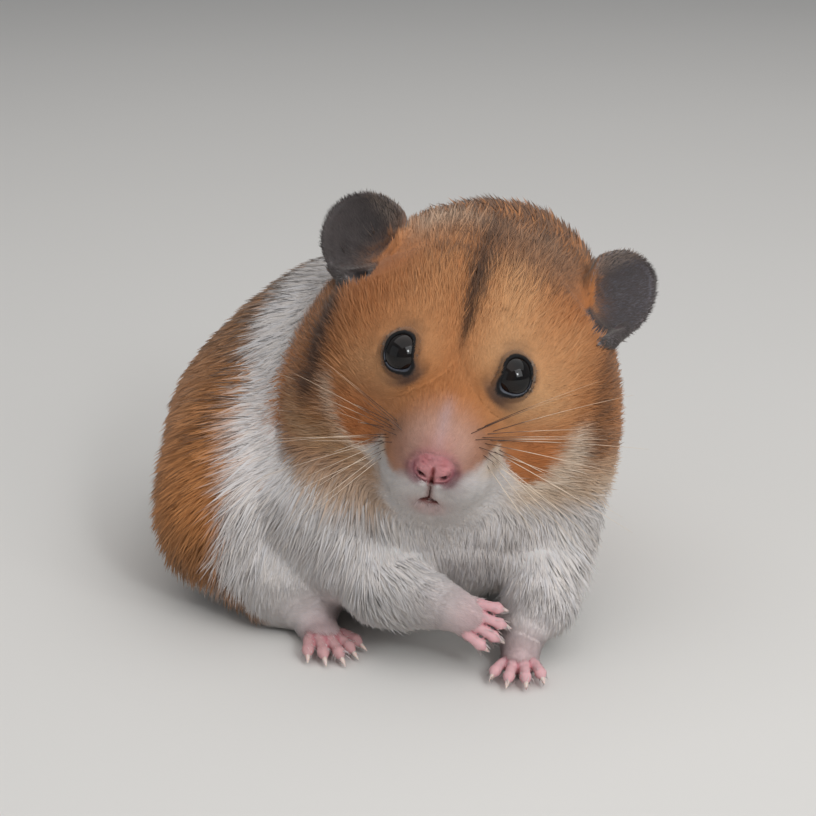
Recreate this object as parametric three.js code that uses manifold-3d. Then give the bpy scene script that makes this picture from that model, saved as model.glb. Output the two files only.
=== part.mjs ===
// A life-size Syrian (golden) hamster sitting up on the floor, its head turned
// to its right and one forepaw lifted. Millimetres, +Z up, floor at z = 0.
//
// The body's outline, out to the tips of the coat, is one smooth field: named
// ellipsoids and tapered capsules that blend into each other. Each part of the
// body takes its surface from that field and is parted from its neighbours by
// a thin cut. Lengths below are in the sitting frame: the face looks towards
// -Y, the hamster's own left is +X and the rump is curled round towards -X.
import * as THREE from "three";
import { mergeVertices } from "three/addons/utils/BufferGeometryUtils.js";
import Module from "manifold-3d";

const wasm = await Module();
wasm.setup();

// ---------- driving sizes ----------
const GAP = 0.32; // width of the cut between two parts
const TURN = 38; // degrees the whole animal is turned about Z, to lay the trunk along Y
const HEAD_YAW = 8, HEAD_ROLL = 10; // degrees: the face turns to its right, the crown leans to its left
const NOSE = [3.8, 0, 34.4]; // tip of the nose
const EYE_R = 3.15, EYE_AT = [8.1, 12.3, 10.8]; // eyeball radius, and its centre in the head's frame
// Each ear in the head's frame, mirrored for the right: middle of its root, along the root, from the root to the rim, half sizes, hollow.
const EAR_LEFT = { at: [16.2, 32.2, 17.9], down: [0.45, -0.06, -0.89], out: [0.57, 0.79, 0.23], high: 9.9, wide: 6.6, cup: 2.5 };
const EAR_RIGHT = { at: [15.4, 31.5, 17.9], down: [0.68, -0.23, -0.69], out: [0.58, 0.74, 0.33], high: 10.0, wide: 7.1, cup: 2.4 };
const EAR_REACH = 4.0, EAR_ROOT = 0.6, EAR_THICK = 1.15; // disc centre from the root, share of its lower half that goes into the head, and the shell
const TAIL = [[-33, 64, 12.5, 3.4], [-38.5, 70.5, 9.8, 2.3], [-42.5, 75, 7.6, 1.1]]; // points with radii

// Each lump of the trunk: [centre, radii, blend].
const TRUNK = {
  thorax: [[8.5, 37, 31], [22.5, 22, 28], 6],
  nape: [[14.5, 41, 45.5], [18, 16, 17.2], 8],
  abdomen: [[-3.5, 49, 28], [27.5, 27, 26], 10],
  rump: [[-16, 52, 21.5], [25, 25, 20.5], 10],
  haunch_right: [[-24, 34, 17.1], [16.5, 18, 17.2], 8],
  haunch_left: [[0, 62, 16.5], [18, 15, 16.5], 8],
  chest: [[5.5, 24, 19], [21, 15, 16], 8],
  shoulder_left: [[19, 25, 20.5], [11, 12, 15], 7],
  shoulder_right: [[-8, 22, 18], [14, 11, 13], 7],
};
// The same for the head, in the head's frame: x to the hamster's left, y back
// and z up from the tip of the nose; true where it is mirrored on both sides.
const HEAD = {
  cranium: [[0, 28, 12], [17.5, 16, 13.5], 4, false],
  crown: [[0, 33, 14.5], [19, 15, 13], 4, false],
  temple: [[11.5, 28.5, 7.5], [11.5, 12.5, 12.5], 7, true],
  cheek: [[12.3, 26, -1.5], [14, 14.5, 14.5], 9, true],
  throat: [[0, 19, -5], [12, 12, 10], 6, false],
  face: [[0, 17.5, 4.4], [12, 11, 10], 6, false],
  snout: [[0, 10, 0.1], [7, 10, 6.4], 4, false],
  lip: [[3.6, 7.2, -3.8], [4.4, 5.8, 4.4], 4, true],
  chin: [[0, 10, -8], [5.2, 5.8, 3.8], 4, false],
  nose: [[0, 1.9, 0.1], [2.6, 2, 1.9], 1.6, false],
};
// Legs are chains of tapered capsules: points with radii.
const LEGS = {
  foreleg_left: { chain: [[21.5, 21, 17, 8.5], [19.8, 10.5, 9, 5.2], [17, 4.8, 4.4, 3.2]], blend: 4 },
  foreleg_right: { chain: [[-9, 20, 15.2, 8.5], [-3.5, 9.5, 11, 6], [5.2, 3.6, 10.4, 3.4]], blend: 4 },
  hindleg_right: { chain: [[-26, 28, 14, 13], [-19.5, 20, 7, 7], [-14.8, 16, 3.4, 3.4]], blend: 5 },
  hindleg_left: { chain: [[2, 62, 13, 12], [13, 52, 7, 7.5], [18.5, 46, 3.4, 3.4]], blend: 5 },
};
const HEAD_BLEND = 7; // how softly the head runs into the body
// Paws: middle and half sizes of the palm, where it points and where its back
// faces, then the toes that fan out from its front.
const PAWS = {
  forepaw_left: { at: [16.6, 2.6, 2.0], palm: [2.7, 3.2, 2.3], points: [-0.12, -1, 0], back: [0, 0, 1], toes: 4, long: 4.2, fan: 15, r: 0.95, claw: 1.1, dip: 0.6 },
  forepaw_right: { at: [8.0, 2.5, 9.6], palm: [2.9, 3.4, 2.2], points: [0.9, -0.12, -0.42], back: [0.1, -0.9, 0.42], toes: 4, long: 4.6, fan: 8, r: 0.95, claw: 1.0, dip: 0.4 },
  hindfoot_right: { at: [-13.6, 12.3, 2.0], palm: [3.0, 6.0, 2.4], points: [0.42, -0.9, 0], back: [0, 0, 1], toes: 5, long: 4.4, fan: 12, r: 1.0, claw: 1.3, dip: 0.6 },
  hindfoot_left: { at: [20.5, 41, 2.0], palm: [3.0, 6.0, 2.4], points: [0.37, -0.93, 0], back: [0, 0, 1], toes: 5, long: 4.4, fan: 12, r: 1.0, claw: 1.3, dip: 0.6 },
};
// Ellipsoids inside which the body belongs to the leg: centre, half sizes, and
// the side on which the leg's points are crowded.
const HOLD = {
  foreleg_left: [[22, 10.5, 9.5], [10, 12, 13.5], [-0.1, -0.35, -0.2]],
  foreleg_right: [[-2, 8, 11.5], [13.5, 9, 9], [0.1, -0.4, -0.1]],
  hindleg_right: [[-25, 24, 11], [18, 16, 18], [-0.2, -0.3, 0]],
  hindleg_left: [[10.5, 57, 9], [18, 19, 15.5], [0.3, -0.1, -0.1]],
};

// ---------- helpers ----------
const rad = THREE.MathUtils.degToRad;
const V = (a) => new THREE.Vector3(...a);
const headFrame = new THREE.Matrix4()
  .makeTranslation(...NOSE)
  .multiply(new THREE.Matrix4().makeRotationZ(-rad(HEAD_YAW)))
  .multiply(new THREE.Matrix4().makeRotationY(rad(HEAD_ROLL)));
const intoHead = headFrame.clone().invert();
const fromHead = (a) => V(a).applyMatrix4(headFrame).toArray();
const mirror = (c) => [-c[0], c[1], c[2]];

// ---------- the outline field ----------
function ellipsoid(p, [c, r]) {
  const x = (p.x - c[0]) / r[0], y = (p.y - c[1]) / r[1], z = (p.z - c[2]) / r[2];
  const k0 = Math.hypot(x, y, z), k1 = Math.hypot(x / r[0], y / r[1], z / r[2]);
  return k1 < 1e-9 ? -Math.min(...r) : (k0 * (k0 - 1)) / k1;
}
function capsule(p, a, b) {
  const d = new THREE.Vector3(b[0] - a[0], b[1] - a[1], b[2] - a[2]);
  const q = new THREE.Vector3(p.x - a[0], p.y - a[1], p.z - a[2]);
  const t = THREE.MathUtils.clamp(q.dot(d) / d.lengthSq(), 0, 1);
  return q.addScaledVector(d, -t).length() - (a[3] + (b[3] - a[3]) * t);
}
function blend(a, b, k) {
  const h = Math.max(k - Math.abs(a - b), 0) / k;
  return Math.min(a, b) - (h * h * k) / 4;
}
function headField(p) {
  const q = p.clone().applyMatrix4(intoHead);
  let f = 1e9;
  for (const [c, r, k, both] of Object.values(HEAD)) {
    f = blend(f, ellipsoid(q, [c, r]), k);
    if (both) f = blend(f, ellipsoid(q, [mirror(c), r]), k);
  }
  return f;
}
function legField(p, { chain }) {
  let f = 1e9;
  for (let i = 0; i + 1 < chain.length; i++) f = blend(f, capsule(p, chain[i], chain[i + 1]), 2);
  return f;
}
function trunkField(p) {
  let f = 1e9;
  for (const [c, r, k] of Object.values(TRUNK)) f = blend(f, ellipsoid(p, [c, r]), k);
  return f;
}
function bodyField(p) {
  let f = trunkField(p);
  for (const leg of Object.values(LEGS)) f = blend(f, legField(p, leg), leg.blend);
  return f;
}
const field = (p) => blend(bodyField(p), headField(p), HEAD_BLEND);

// The head keeps its own lumps and the fur over them; the neck is the pad of
// fur and shoulder behind it. Both ellipsoids are in the head's frame.
const CAP = [[0, 22, 8], [27.5, 15.5, 22]];
const NECK = [[0, 31, 7], [28.5, 17, 23]];
const headPart = (p) => Math.min(headField(p) - 0.9, ellipsoid(p.clone().applyMatrix4(intoHead), CAP));
const neckPart = (p) => ellipsoid(p.clone().applyMatrix4(intoHead), NECK);

// ---------- solids ----------
function toSolid(geometry) {
  const g = geometry.index ? geometry.toNonIndexed() : geometry.clone();
  g.deleteAttribute("normal");
  g.deleteAttribute("uv");
  const m = mergeVertices(g, 1e-4);
  return new wasm.Manifold(
    new wasm.Mesh({
      numProp: 3,
      vertProperties: new Float32Array(m.attributes.position.array),
      triVerts: new Uint32Array(m.index.array),
    }),
  );
}
function toGeometry(solid) {
  const m = solid.getMesh(), v = new Float32Array(m.numVert * 3);
  for (let i = 0; i < m.numVert; i++)
    v.set(m.vertProperties.subarray(i * m.numProp, i * m.numProp + 3), i * 3);
  const g = new THREE.BufferGeometry();
  g.setAttribute("position", new THREE.BufferAttribute(v, 3));
  g.setIndex(new THREE.BufferAttribute(m.triVerts, 1));
  g.computeVertexNormals();
  return g;
}
// A ball whose points are moved along their own rays to the outermost place
// where the field is zero; crowd pushes the points towards one side.
function cast(centre, detail, reach, f, crowd = [0, 0, 0]) {
  const g = new THREE.IcosahedronGeometry(1, detail);
  const pos = g.attributes.position, c = V(centre), b = V(crowd);
  const dir = new THREE.Vector3(), p = new THREE.Vector3(), seen = new Map();
  const at = (t) => f(p.copy(c).addScaledVector(dir, t));
  for (let i = 0; i < pos.count; i++) {
    dir.fromBufferAttribute(pos, i).normalize().add(b).normalize();
    const key = dir.toArray().map((x) => x.toFixed(5)).join();
    if (!seen.has(key)) {
      let hi = reach, v = at(hi);
      while (hi > 0.5 && v > 0) {
        hi -= THREE.MathUtils.clamp(v * 0.5, 0.5, 6);
        v = at(hi);
      }
      let lo = Math.max(hi, 0.5), up = lo + 6;
      for (let n = 0; n < 22; n++) {
        const mid = (lo + up) / 2;
        if (at(mid) > 0) up = mid;
        else lo = mid;
      }
      seen.set(key, lo);
    }
    p.copy(c).addScaledVector(dir, seen.get(key));
    pos.setXYZ(i, p.x, p.y, p.z);
  }
  return toSolid(g);
}
const ball = (centre, radii, detail = 6) =>
  toSolid(new THREE.IcosahedronGeometry(1, detail).scale(...radii).translate(...centre));
const grown = ([c, r], by, detail) => ball(c, r.map((x) => x + by), detail);
const FAR = 300;
const aboveFloor = toSolid(new THREE.BoxGeometry(FAR, FAR, FAR).translate(0, 0, FAR / 2));

// One toe with its claw, lathed about its length and bent down over an arc.
function toe(root, dir, back, long, r, claw, dip) {
  const profile = [[0, 0.98], [0.6, 0.86], [0.84, 1.08], [1.0, 0.5]];
  const pts = [new THREE.Vector2(0, -0.3)];
  for (const [t, k] of profile) pts.push(new THREE.Vector2(r * k, t * long));
  pts.push(new THREE.Vector2(0.27, long + claw), new THREE.Vector2(0, long + claw + 0.2));
  const g = new THREE.LatheGeometry(pts, 5);
  const pos = g.attributes.position, side = dir.clone().cross(back).normalize();
  const up = side.clone().cross(dir).normalize();
  for (let i = 0; i < pos.count; i++) {
    const t = pos.getY(i), k = THREE.MathUtils.clamp(t / (long + claw), 0, 1);
    const q = root.clone().addScaledVector(dir, t).addScaledVector(side, pos.getX(i)).addScaledVector(up, pos.getZ(i));
    q.addScaledVector(up, dip * long * (0.18 * Math.sin(Math.PI * k) - 0.32 * k * k));
    pos.setXYZ(i, q.x, q.y, q.z);
  }
  return toSolid(g);
}
function pawTurn({ at, points, back }) {
  const y = V(points).normalize().negate(), x = y.clone().cross(V(back)).normalize();
  return new THREE.Matrix4().makeBasis(x, y, x.clone().cross(y)).setPosition(...at);
}
const palmOf = (spec, by) =>
  toSolid(new THREE.IcosahedronGeometry(1, 2).scale(...spec.palm.map((x) => x + by)).applyMatrix4(pawTurn(spec)));
function paw(spec) {
  const { palm, toes, long, fan, r, claw, dip } = spec, turn = pawTurn(spec);
  const back = new THREE.Vector3(0, 0, 1).transformDirection(turn);
  let s = palmOf(spec, 0);
  for (let i = 0; i < toes; i++) {
    const k = i - (toes - 1) / 2, a = rad(k * fan), outer = Math.abs(k) / ((toes - 1) / 2);
    const root = new THREE.Vector3(k * ((palm[0] * 1.5) / (toes - 1)), -palm[1] * (0.42 - 0.22 * outer), r - palm[2] * 0.5);
    const dir = new THREE.Vector3(Math.sin(a), -Math.cos(a), 0);
    s = s.add(toe(root.applyMatrix4(turn), dir.transformDirection(turn), back, (long + palm[1] * 0.3) * (1 - 0.18 * outer * outer), r, claw, dip));
  }
  return s;
}
// An ear: a thin round shell, hollow towards the front, its root in the head.
function ear(sx, by = 0) {
  const spec = sx > 0 ? EAR_LEFT : EAR_RIGHT;
  const g = new THREE.SphereGeometry(1, 14, 6).rotateX(Math.PI / 2), pos = g.attributes.position;
  const down = V(spec.down).normalize(), tilt = V(spec.out);
  const out = tilt.addScaledVector(down, -tilt.dot(down)).normalize(), face = down.clone().cross(out);
  const mid = V(spec.at).addScaledVector(out, EAR_REACH);
  for (let i = 0; i < pos.count; i++) {
    const a = pos.getX(i), b = pos.getY(i), c = pos.getZ(i);
    const edge = a * a + b * b, narrow = 1 - 0.22 * Math.max(0, -b) ** 2;
    const q = mid.clone()
      .addScaledVector(down, a * (spec.wide + by) * narrow)
      .addScaledVector(out, b * (b < 0 ? EAR_ROOT : 1) * (spec.high + by))
      .addScaledVector(face, spec.cup * edge + 0.8 * a * a * Math.max(0, -b) + c * (EAR_THICK / 2 + by) * (1 + 0.5 * edge));
    q.x *= sx;
    q.applyMatrix4(headFrame);
    pos.setXYZ(i, q.x, q.y, q.z);
  }
  if (sx < 0) {
    const ix = g.index.array;
    for (let i = 0; i < ix.length; i += 3) [ix[i + 1], ix[i + 2]] = [ix[i + 2], ix[i + 1]];
  }
  return toSolid(g);
}
const chainField = (p, chain, by = 0) => {
  let f = 1e9;
  for (let i = 0; i + 1 < chain.length; i++) f = blend(f, capsule(p, chain[i], chain[i + 1]) - by, 1.5);
  return f;
};

// ---------- parts ----------
const part = {};
const LEG_PAW = { foreleg_left: "forepaw_left", foreleg_right: "forepaw_right", hindleg_left: "hindfoot_left", hindleg_right: "hindfoot_right" };
const all = (from, cuts) => cuts.reduce((s, c) => s.subtract(c), from);

// head
const headCentre = fromHead([0, 24, 4]);
const ears = { ear_left: ear(1), ear_right: ear(-1) };
const earCuts = [ear(1, GAP + 0.2), ear(-1, GAP + 0.2)];
const eyeAt = (sx) => fromHead([sx * EYE_AT[0], EYE_AT[1], EYE_AT[2]]);
const sockets = [1, -1].map((sx) => grown([eyeAt(sx), [EYE_R, EYE_R, EYE_R]], GAP + 0.12, 1));
part.head = all(
  cast(headCentre, 8, 60, (p) => Math.max(field(p), headPart(p)), [0.03, -0.42, -0.05]),
  [...sockets, ...earCuts],
);
const headCut = cast(headCentre, 4, 60, (p) => headPart(p) - GAP - 0.2);

// neck and trunk
part.neck = all(cast(fromHead(NECK[0]), 4, 50, (p) => Math.max(field(p), neckPart(p))), [headCut, ...earCuts]);
part.neck = part.neck.decompose().sort((a, b) => b.volume() - a.volume())[0]; // without the slivers behind the ears
const neckCut = toSolid(
  new THREE.IcosahedronGeometry(1, 2).scale(...NECK[1].map((x) => x + GAP + 0.35)).translate(...NECK[0]).applyMatrix4(headFrame),
);
const tailRoot = TAIL[0].slice(0, 3);
part.tail = cast(tailRoot, 2, 30, (p) => chainField(p, TAIL));
part.trunk = all(
  cast([-5, 41, 26], 6, 75, (p) => blend(trunkField(p), headField(p) + 2.5, HEAD_BLEND)),
  [headCut, neckCut, ...earCuts, cast(tailRoot, 1, 30, (p) => chainField(p, TAIL, GAP)), ...Object.values(HOLD).map((h) => grown(h, GAP + 0.2, 2))],
).intersect(aboveFloor);

// legs and paws
for (const [name, hold] of Object.entries(HOLD)) {
  const f = (p) => Math.max(field(p), ellipsoid(p, hold), -headPart(p) + GAP + 0.2, -neckPart(p) + GAP);
  part[name] = cast(hold[0], 3, 30, f, hold[2]).subtract(palmOf(PAWS[LEG_PAW[name]], GAP)).intersect(aboveFloor);
}
part.foreleg_right = part.foreleg_right.subtract(grown(HOLD.hindleg_right, GAP + 0.25, 2));
for (const [name, spec] of Object.entries(PAWS)) part[name] = paw(spec).intersect(aboveFloor);
Object.assign(part, ears);
part.eye_left = ball(eyeAt(1), [EYE_R, EYE_R, EYE_R], 2);
part.eye_right = ball(eyeAt(-1), [EYE_R, EYE_R, EYE_R], 2);

// ---------- colours ----------
const LOOK = { fur: [0xb9783f, 0.85], pale: [0xe9e2d8, 0.85], ear: [0x5f5552, 0.7], eye: [0x0c0a0a, 0.1], pink: [0xd9a3a0, 0.6] };
const lookOf = (name) =>
  name.startsWith("eye") ? LOOK.eye : name.startsWith("ear") ? LOOK.ear
  : /paw|foot|tail/.test(name) ? LOOK.pink : name.startsWith("foreleg") ? LOOK.pale : LOOK.fur;

const hamster = new THREE.Group();
for (const [name, s] of Object.entries(part)) {
  const [color, roughness] = lookOf(name);
  const mesh = new THREE.Mesh(toGeometry(s), new THREE.MeshStandardMaterial({ color, roughness, metalness: 0 }));
  mesh.name = name;
  hamster.add(mesh);
}
// Lay the trunk along Y and put the middle of the footprint at the origin.
hamster.rotation.z = -rad(TURN);
hamster.updateMatrixWorld(true);
const bounds = new THREE.Box3().setFromObject(hamster, true);
hamster.position.set(-(bounds.min.x + bounds.max.x) / 2, -(bounds.min.y + bounds.max.y) / 2, 0);
export default hamster;
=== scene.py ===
"""Looks of a life-size Syrian hamster that sits and turns its head to the viewer.

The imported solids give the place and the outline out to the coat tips. The skin
is one closed surface of the same body, set inwards by the depth of the coat,
with lids, nostrils, lips, toes and ears on it. The coat is solid tufts that
grow from the skin, follow its lie and carry its markings.

Everything is worked out in millimetres in the animal's own design frame (u to
the viewer's right, v away, w up) or in the head's frame (x to the animal's
left, y back, z up, zero at the nose tip), and is turned into the row frame at
the end.
"""

import math

import bpy
import numpy as np
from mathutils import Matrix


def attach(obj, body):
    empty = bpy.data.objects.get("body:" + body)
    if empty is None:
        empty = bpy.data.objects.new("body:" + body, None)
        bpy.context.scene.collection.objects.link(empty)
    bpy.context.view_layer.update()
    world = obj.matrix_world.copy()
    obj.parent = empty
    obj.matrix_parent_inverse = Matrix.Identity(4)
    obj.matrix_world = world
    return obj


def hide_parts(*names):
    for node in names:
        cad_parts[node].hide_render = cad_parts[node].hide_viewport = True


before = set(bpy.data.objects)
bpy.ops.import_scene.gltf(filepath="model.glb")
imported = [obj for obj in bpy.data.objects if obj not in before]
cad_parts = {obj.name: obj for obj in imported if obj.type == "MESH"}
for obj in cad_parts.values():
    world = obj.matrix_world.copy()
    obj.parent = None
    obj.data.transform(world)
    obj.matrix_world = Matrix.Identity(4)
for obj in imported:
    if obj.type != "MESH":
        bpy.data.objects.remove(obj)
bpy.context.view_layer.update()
F = np.float32

# ---------------------------------------------------------------- the body
TURN, OFFSET = 38.0, (-19.5324, -33.3350)
HEAD_YAW, HEAD_ROLL, NOSE, HEAD_BLEND = 8.0, 10.0, (3.8, 0.0, 34.4), 7.0
TRUNK = {
    "thorax": ((8.5, 37, 31), (22.5, 22, 28), 6),
    "nape": ((14.5, 41, 45.5), (18, 16, 17.2), 8),
    "abdomen": ((-3.5, 49, 28), (27.5, 27, 26), 10),
    "rump": ((-16, 52, 21.5), (25, 25, 20.5), 10),
    "haunch_right": ((-24, 34, 17.1), (16.5, 18, 17.2), 8),
    "haunch_left": ((0, 62, 16.5), (18, 15, 16.5), 8),
    "chest": ((5.5, 24, 19), (21, 15, 16), 8),
    "shoulder_left": ((19, 25, 20.5), (11, 12, 15), 7),
    "shoulder_right": ((-8, 22, 18), (14, 11, 13), 7),
}
HEAD = {
    "cranium": ((0, 28, 12), (17.5, 16, 13.5), 4, False),
    "crown": ((0, 33, 14.5), (19, 15, 13), 4, False),
    "temple": ((11.5, 28.5, 7.5), (11.5, 12.5, 12.5), 7, True),
    "cheek": ((12.3, 26, -1.5), (14, 14.5, 14.5), 9, True),
    "throat": ((0, 19, -5), (12, 12, 10), 6, False),
    "face": ((0, 17.5, 4.4), (12.0, 11, 10.0), 6, False),
    "snout": ((0, 10, 0.1), (7.0, 10.0, 6.4), 4, False),
    "lip": ((3.6, 7.2, -3.8), (4.4, 5.8, 4.4), 4, True),
    "chin": ((0, 10, -8), (5.2, 5.8, 3.8), 4, False),
    "nose": ((0, 1.9, 0.1), (2.6, 2.0, 1.9), 1.6, False),
}
LEGS = {
    "foreleg_left": (((21.5, 21, 17, 8.5), (19.8, 10.5, 9, 5.2), (17.0, 4.8, 4.4, 3.2)), 4),
    "foreleg_right": (((-9, 20, 15.2, 8.5), (-3.5, 9.5, 11, 6.0), (5.2, 3.6, 10.4, 3.4)), 4),
    "hindleg_right": (((-26, 28, 14, 13), (-19.5, 20, 7, 7), (-14.8, 16, 3.4, 3.4)), 5),
    "hindleg_left": (((2, 62, 13, 12), (13, 52, 7, 7.5), (18.5, 46, 3.4, 3.4)), 5),
}
TAIL = ((-33, 64, 12.5, 3.4), (-38.5, 70.5, 9.8, 2.3), (-42.5, 75, 7.6, 1.1))
PAWS = {
    "forepaw_left": dict(at=(16.6, 2.6, 2.0), palm=(2.7, 3.2, 2.3), points=(-0.12, -1, 0), back=(0, 0, 1), toes=4, long=4.2, fan=15, r=0.95, claw=1.1, dip=0.6),
    "forepaw_right": dict(at=(8.0, 2.5, 9.6), palm=(2.9, 3.4, 2.2), points=(0.9, -0.12, -0.42), back=(0.1, -0.9, 0.42), toes=4, long=4.6, fan=8, r=0.95, claw=1.0, dip=0.4),
    "hindfoot_right": dict(at=(-13.6, 12.3, 2.0), palm=(3.0, 6.0, 2.4), points=(0.42, -0.9, 0), back=(0, 0, 1), toes=5, long=4.4, fan=12, r=1.0, claw=1.3, dip=0.6),
    "hindfoot_left": dict(at=(20.5, 41, 2.0), palm=(3.0, 6.0, 2.4), points=(0.37, -0.93, 0), back=(0, 0, 1), toes=5, long=4.4, fan=12, r=1.0, claw=1.3, dip=0.6),
}
EYE_R, EYE_AT = 3.15, (8.1, 12.3, 10.8)
EARS = {  # 1 the animal's left, -1 its right, worked out on the left and mirrored
    1: dict(at=(16.2, 32.2, 17.9), down=(0.45, -0.06, -0.89), out=(0.57, 0.79, 0.23), high=9.75, wide=6.45, cup=2.5),
    -1: dict(at=(15.4, 31.5, 17.9), down=(0.68, -0.23, -0.69), out=(0.58, 0.74, 0.33), high=9.85, wide=6.95, cup=2.4),
}
EAR_REACH, EAR_ROOT = 4.0, 0.6
EAR_THICK = 0.72  # of the bare ear, inside its solid
# the ear's outer edge runs on down the side of the head to a notch: a low wall and the scoop behind it
EAR_LOBE = ((21.6, 31.0, 15.4, 1.2), (20.0, 27.4, 14.7, 1.2), (18.5, 23.4, 14.9, 0.7))
EAR_SCOOP = ((20.4, 30.4, 17.6, 2.0), (18.6, 27.0, 17.2, 1.7), (17.9, 23.6, 16.4, 0.6))
EAR_FLOOR = ((20.4, 30.0, 17.4, 2.2), (18.4, 26.0, 17.2, 2.0), (17.9, 22.6, 16.2, 0.8))  # where the hair over them is dark and short

# ---------------------------------------------------------------- the coat
TUFTS = 368000
COAT_DEPTH = 2.5  # mm under the outline, on the body


def unit(v):
    v = np.asarray(v, F)
    return v / np.maximum(np.linalg.norm(v, axis=-1, keepdims=True), 1e-9)


def turn_z(a):
    a = math.radians(a)
    return np.array([[math.cos(a), -math.sin(a), 0], [math.sin(a), math.cos(a), 0], [0, 0, 1]])


def turn_y(a):
    a = math.radians(a)
    return np.array([[math.cos(a), 0, math.sin(a)], [0, 1, 0], [-math.sin(a), 0, math.cos(a)]])


HEAD_TURN = (turn_z(-HEAD_YAW) @ turn_y(HEAD_ROLL)).astype(F)
NOSE_AT = np.array(NOSE, F)
ROW_TURN = turn_z(-TURN).astype(np.float64)


def into_head(p):
    return (p - NOSE_AT) @ HEAD_TURN


def from_head(q):
    return q @ HEAD_TURN.T + NOSE_AT


def to_row(p):
    """Design frame in mm to the row frame in metres."""
    r = np.asarray(p, np.float64) @ ROW_TURN.T
    r[..., 0] += OFFSET[0]
    r[..., 1] += OFFSET[1]
    return r / 1000.0


def smoothstep(a, b, x):
    t = np.clip((x - a) / (b - a), 0, 1)
    return t * t * (3 - 2 * t)


def bump(x):
    return np.exp(-np.square(x))


def smin(a, b, k):
    h = np.maximum(k - np.abs(a - b), 0) / k
    return np.minimum(a, b) - h * h * (k / 4)


def smax(a, b, k):
    return -smin(-a, -b, k)


def ellipsoid(p, c, r):
    r = np.array(r, F)
    q = (p - np.array(c, F)) / r
    k0 = np.sqrt(np.einsum("ij,ij->i", q, q))
    q = q / r
    k1 = np.sqrt(np.einsum("ij,ij->i", q, q))
    return k0 * (k0 - 1) / np.maximum(k1, 1e-6)


def capsule(p, a, b):
    a, b = np.array(a, F), np.array(b, F)
    d = b[:3] - a[:3]
    q = p - a[:3]
    t = np.clip(q @ d / (d @ d), 0, 1)
    q = q - t[:, None] * d
    return np.sqrt(np.einsum("ij,ij->i", q, q)) - (a[3] + (b[3] - a[3]) * t)


def chain(p, points, k):
    f = None
    for a, b in zip(points, points[1:]):
        g = capsule(p, a, b)
        f = g if f is None else smin(f, g, k)
    return f


def mirrored(c, s):
    return (c[0] * s, c[1], c[2])


def head_field(q):
    f = None
    for c, r, k, both in HEAD.values():
        g = ellipsoid(q, c, r)
        f = g if f is None else smin(f, g, k)
        if both:
            f = smin(f, ellipsoid(q, mirrored(c, -1), r), k)
    return f


def body_field(p):
    f = None
    for c, r, k in TRUNK.values():
        g = ellipsoid(p, c, r)
        f = g if f is None else smin(f, g, k)
    for points, k in LEGS.values():
        f = smin(f, chain(p, points, 2), k)
    return f


def near(p, c, r):
    """Indices of the points within r of c."""
    d = p - np.array(c, F)
    return np.nonzero(np.einsum("ij,ij->i", d, d) < r * r)[0]


def distance(p, c):
    d = p - np.array(c, F)
    return np.sqrt(np.einsum("ij,ij->i", d, d))


# ---- paws: a frame each, with y from the toes back to the wrist and z out of the back of the paw
def paw_frame(spec):
    y = -unit(spec["points"])
    x = unit(np.cross(y, unit(spec["back"])))
    z = np.cross(x, y)
    return np.stack([x, y, z], 1).astype(F), np.array(spec["at"], F)


def toe_points(spec):
    """For each toe its points from root to claw tip in the design frame, each with a radius."""
    m, at = paw_frame(spec)
    n, palm = spec["toes"], spec["palm"]
    toes = []
    for i in range(n):
        k = i - (n - 1) / 2
        outer = abs(k) / ((n - 1) / 2)
        a = math.radians(k * spec["fan"])
        root = np.array([k * palm[0] * 1.5 / (n - 1), -palm[1] * (0.42 - 0.22 * outer), spec["r"] - palm[2] * 0.5])
        way = np.array([math.sin(a), -math.cos(a), 0])
        long = (spec["long"] + palm[1] * 0.3) * (1 - 0.18 * outer * outer)
        whole = long + spec["claw"]
        out = []
        for t, r in ((0, 0.98), (0.3, 0.9), (0.55, 0.84), (0.82, 1.0), (0.97, 0.62), (1.0 + 0.5 * spec["claw"] / long, 0.2), (whole / long, 0.05)):
            t *= long
            s = min(t / whole, 1)
            q = root + way * t + np.array([0, 0, 1.0]) * spec["dip"] * long * (0.18 * math.sin(math.pi * s) - 0.32 * s * s)
            out.append((*(m @ q.astype(F) + at), spec["r"] * r))
        toes.append(out)
    return toes


TOES = {name: toe_points(spec) for name, spec in PAWS.items()}


def paws_field(p, f):
    for name, spec in PAWS.items():
        i = near(p, spec["at"], 17)
        if not len(i):
            continue
        m, at = paw_frame(spec)
        q = p[i]
        g = ellipsoid((q - at) @ m, (0, 0, 0), [x - 0.12 for x in spec["palm"]])
        for toe in TOES[name]:
            t = None
            for a, b in zip(toe[:4], toe[1:5]):
                c = capsule(q, a, b)
                t = c if t is None else smin(t, c, 0.5)
            g = smin(g, t + 0.15, 0.45)
        f[i] = smin(f[i], g, 1.6)
    return f


# ---- ears: cupped shells
for ear in EARS.values():
    down = unit(ear["down"])
    out = np.array(ear["out"], F)
    out = unit(out - (out @ down) * down)
    ear["basis"] = np.stack([down, out, np.cross(down, out)], 1).astype(F)
    ear["mid"] = np.array(ear["at"], F) + out * EAR_REACH
EAR_MID = (EARS[1]["mid"] + EARS[-1]["mid"]) / 2


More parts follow.
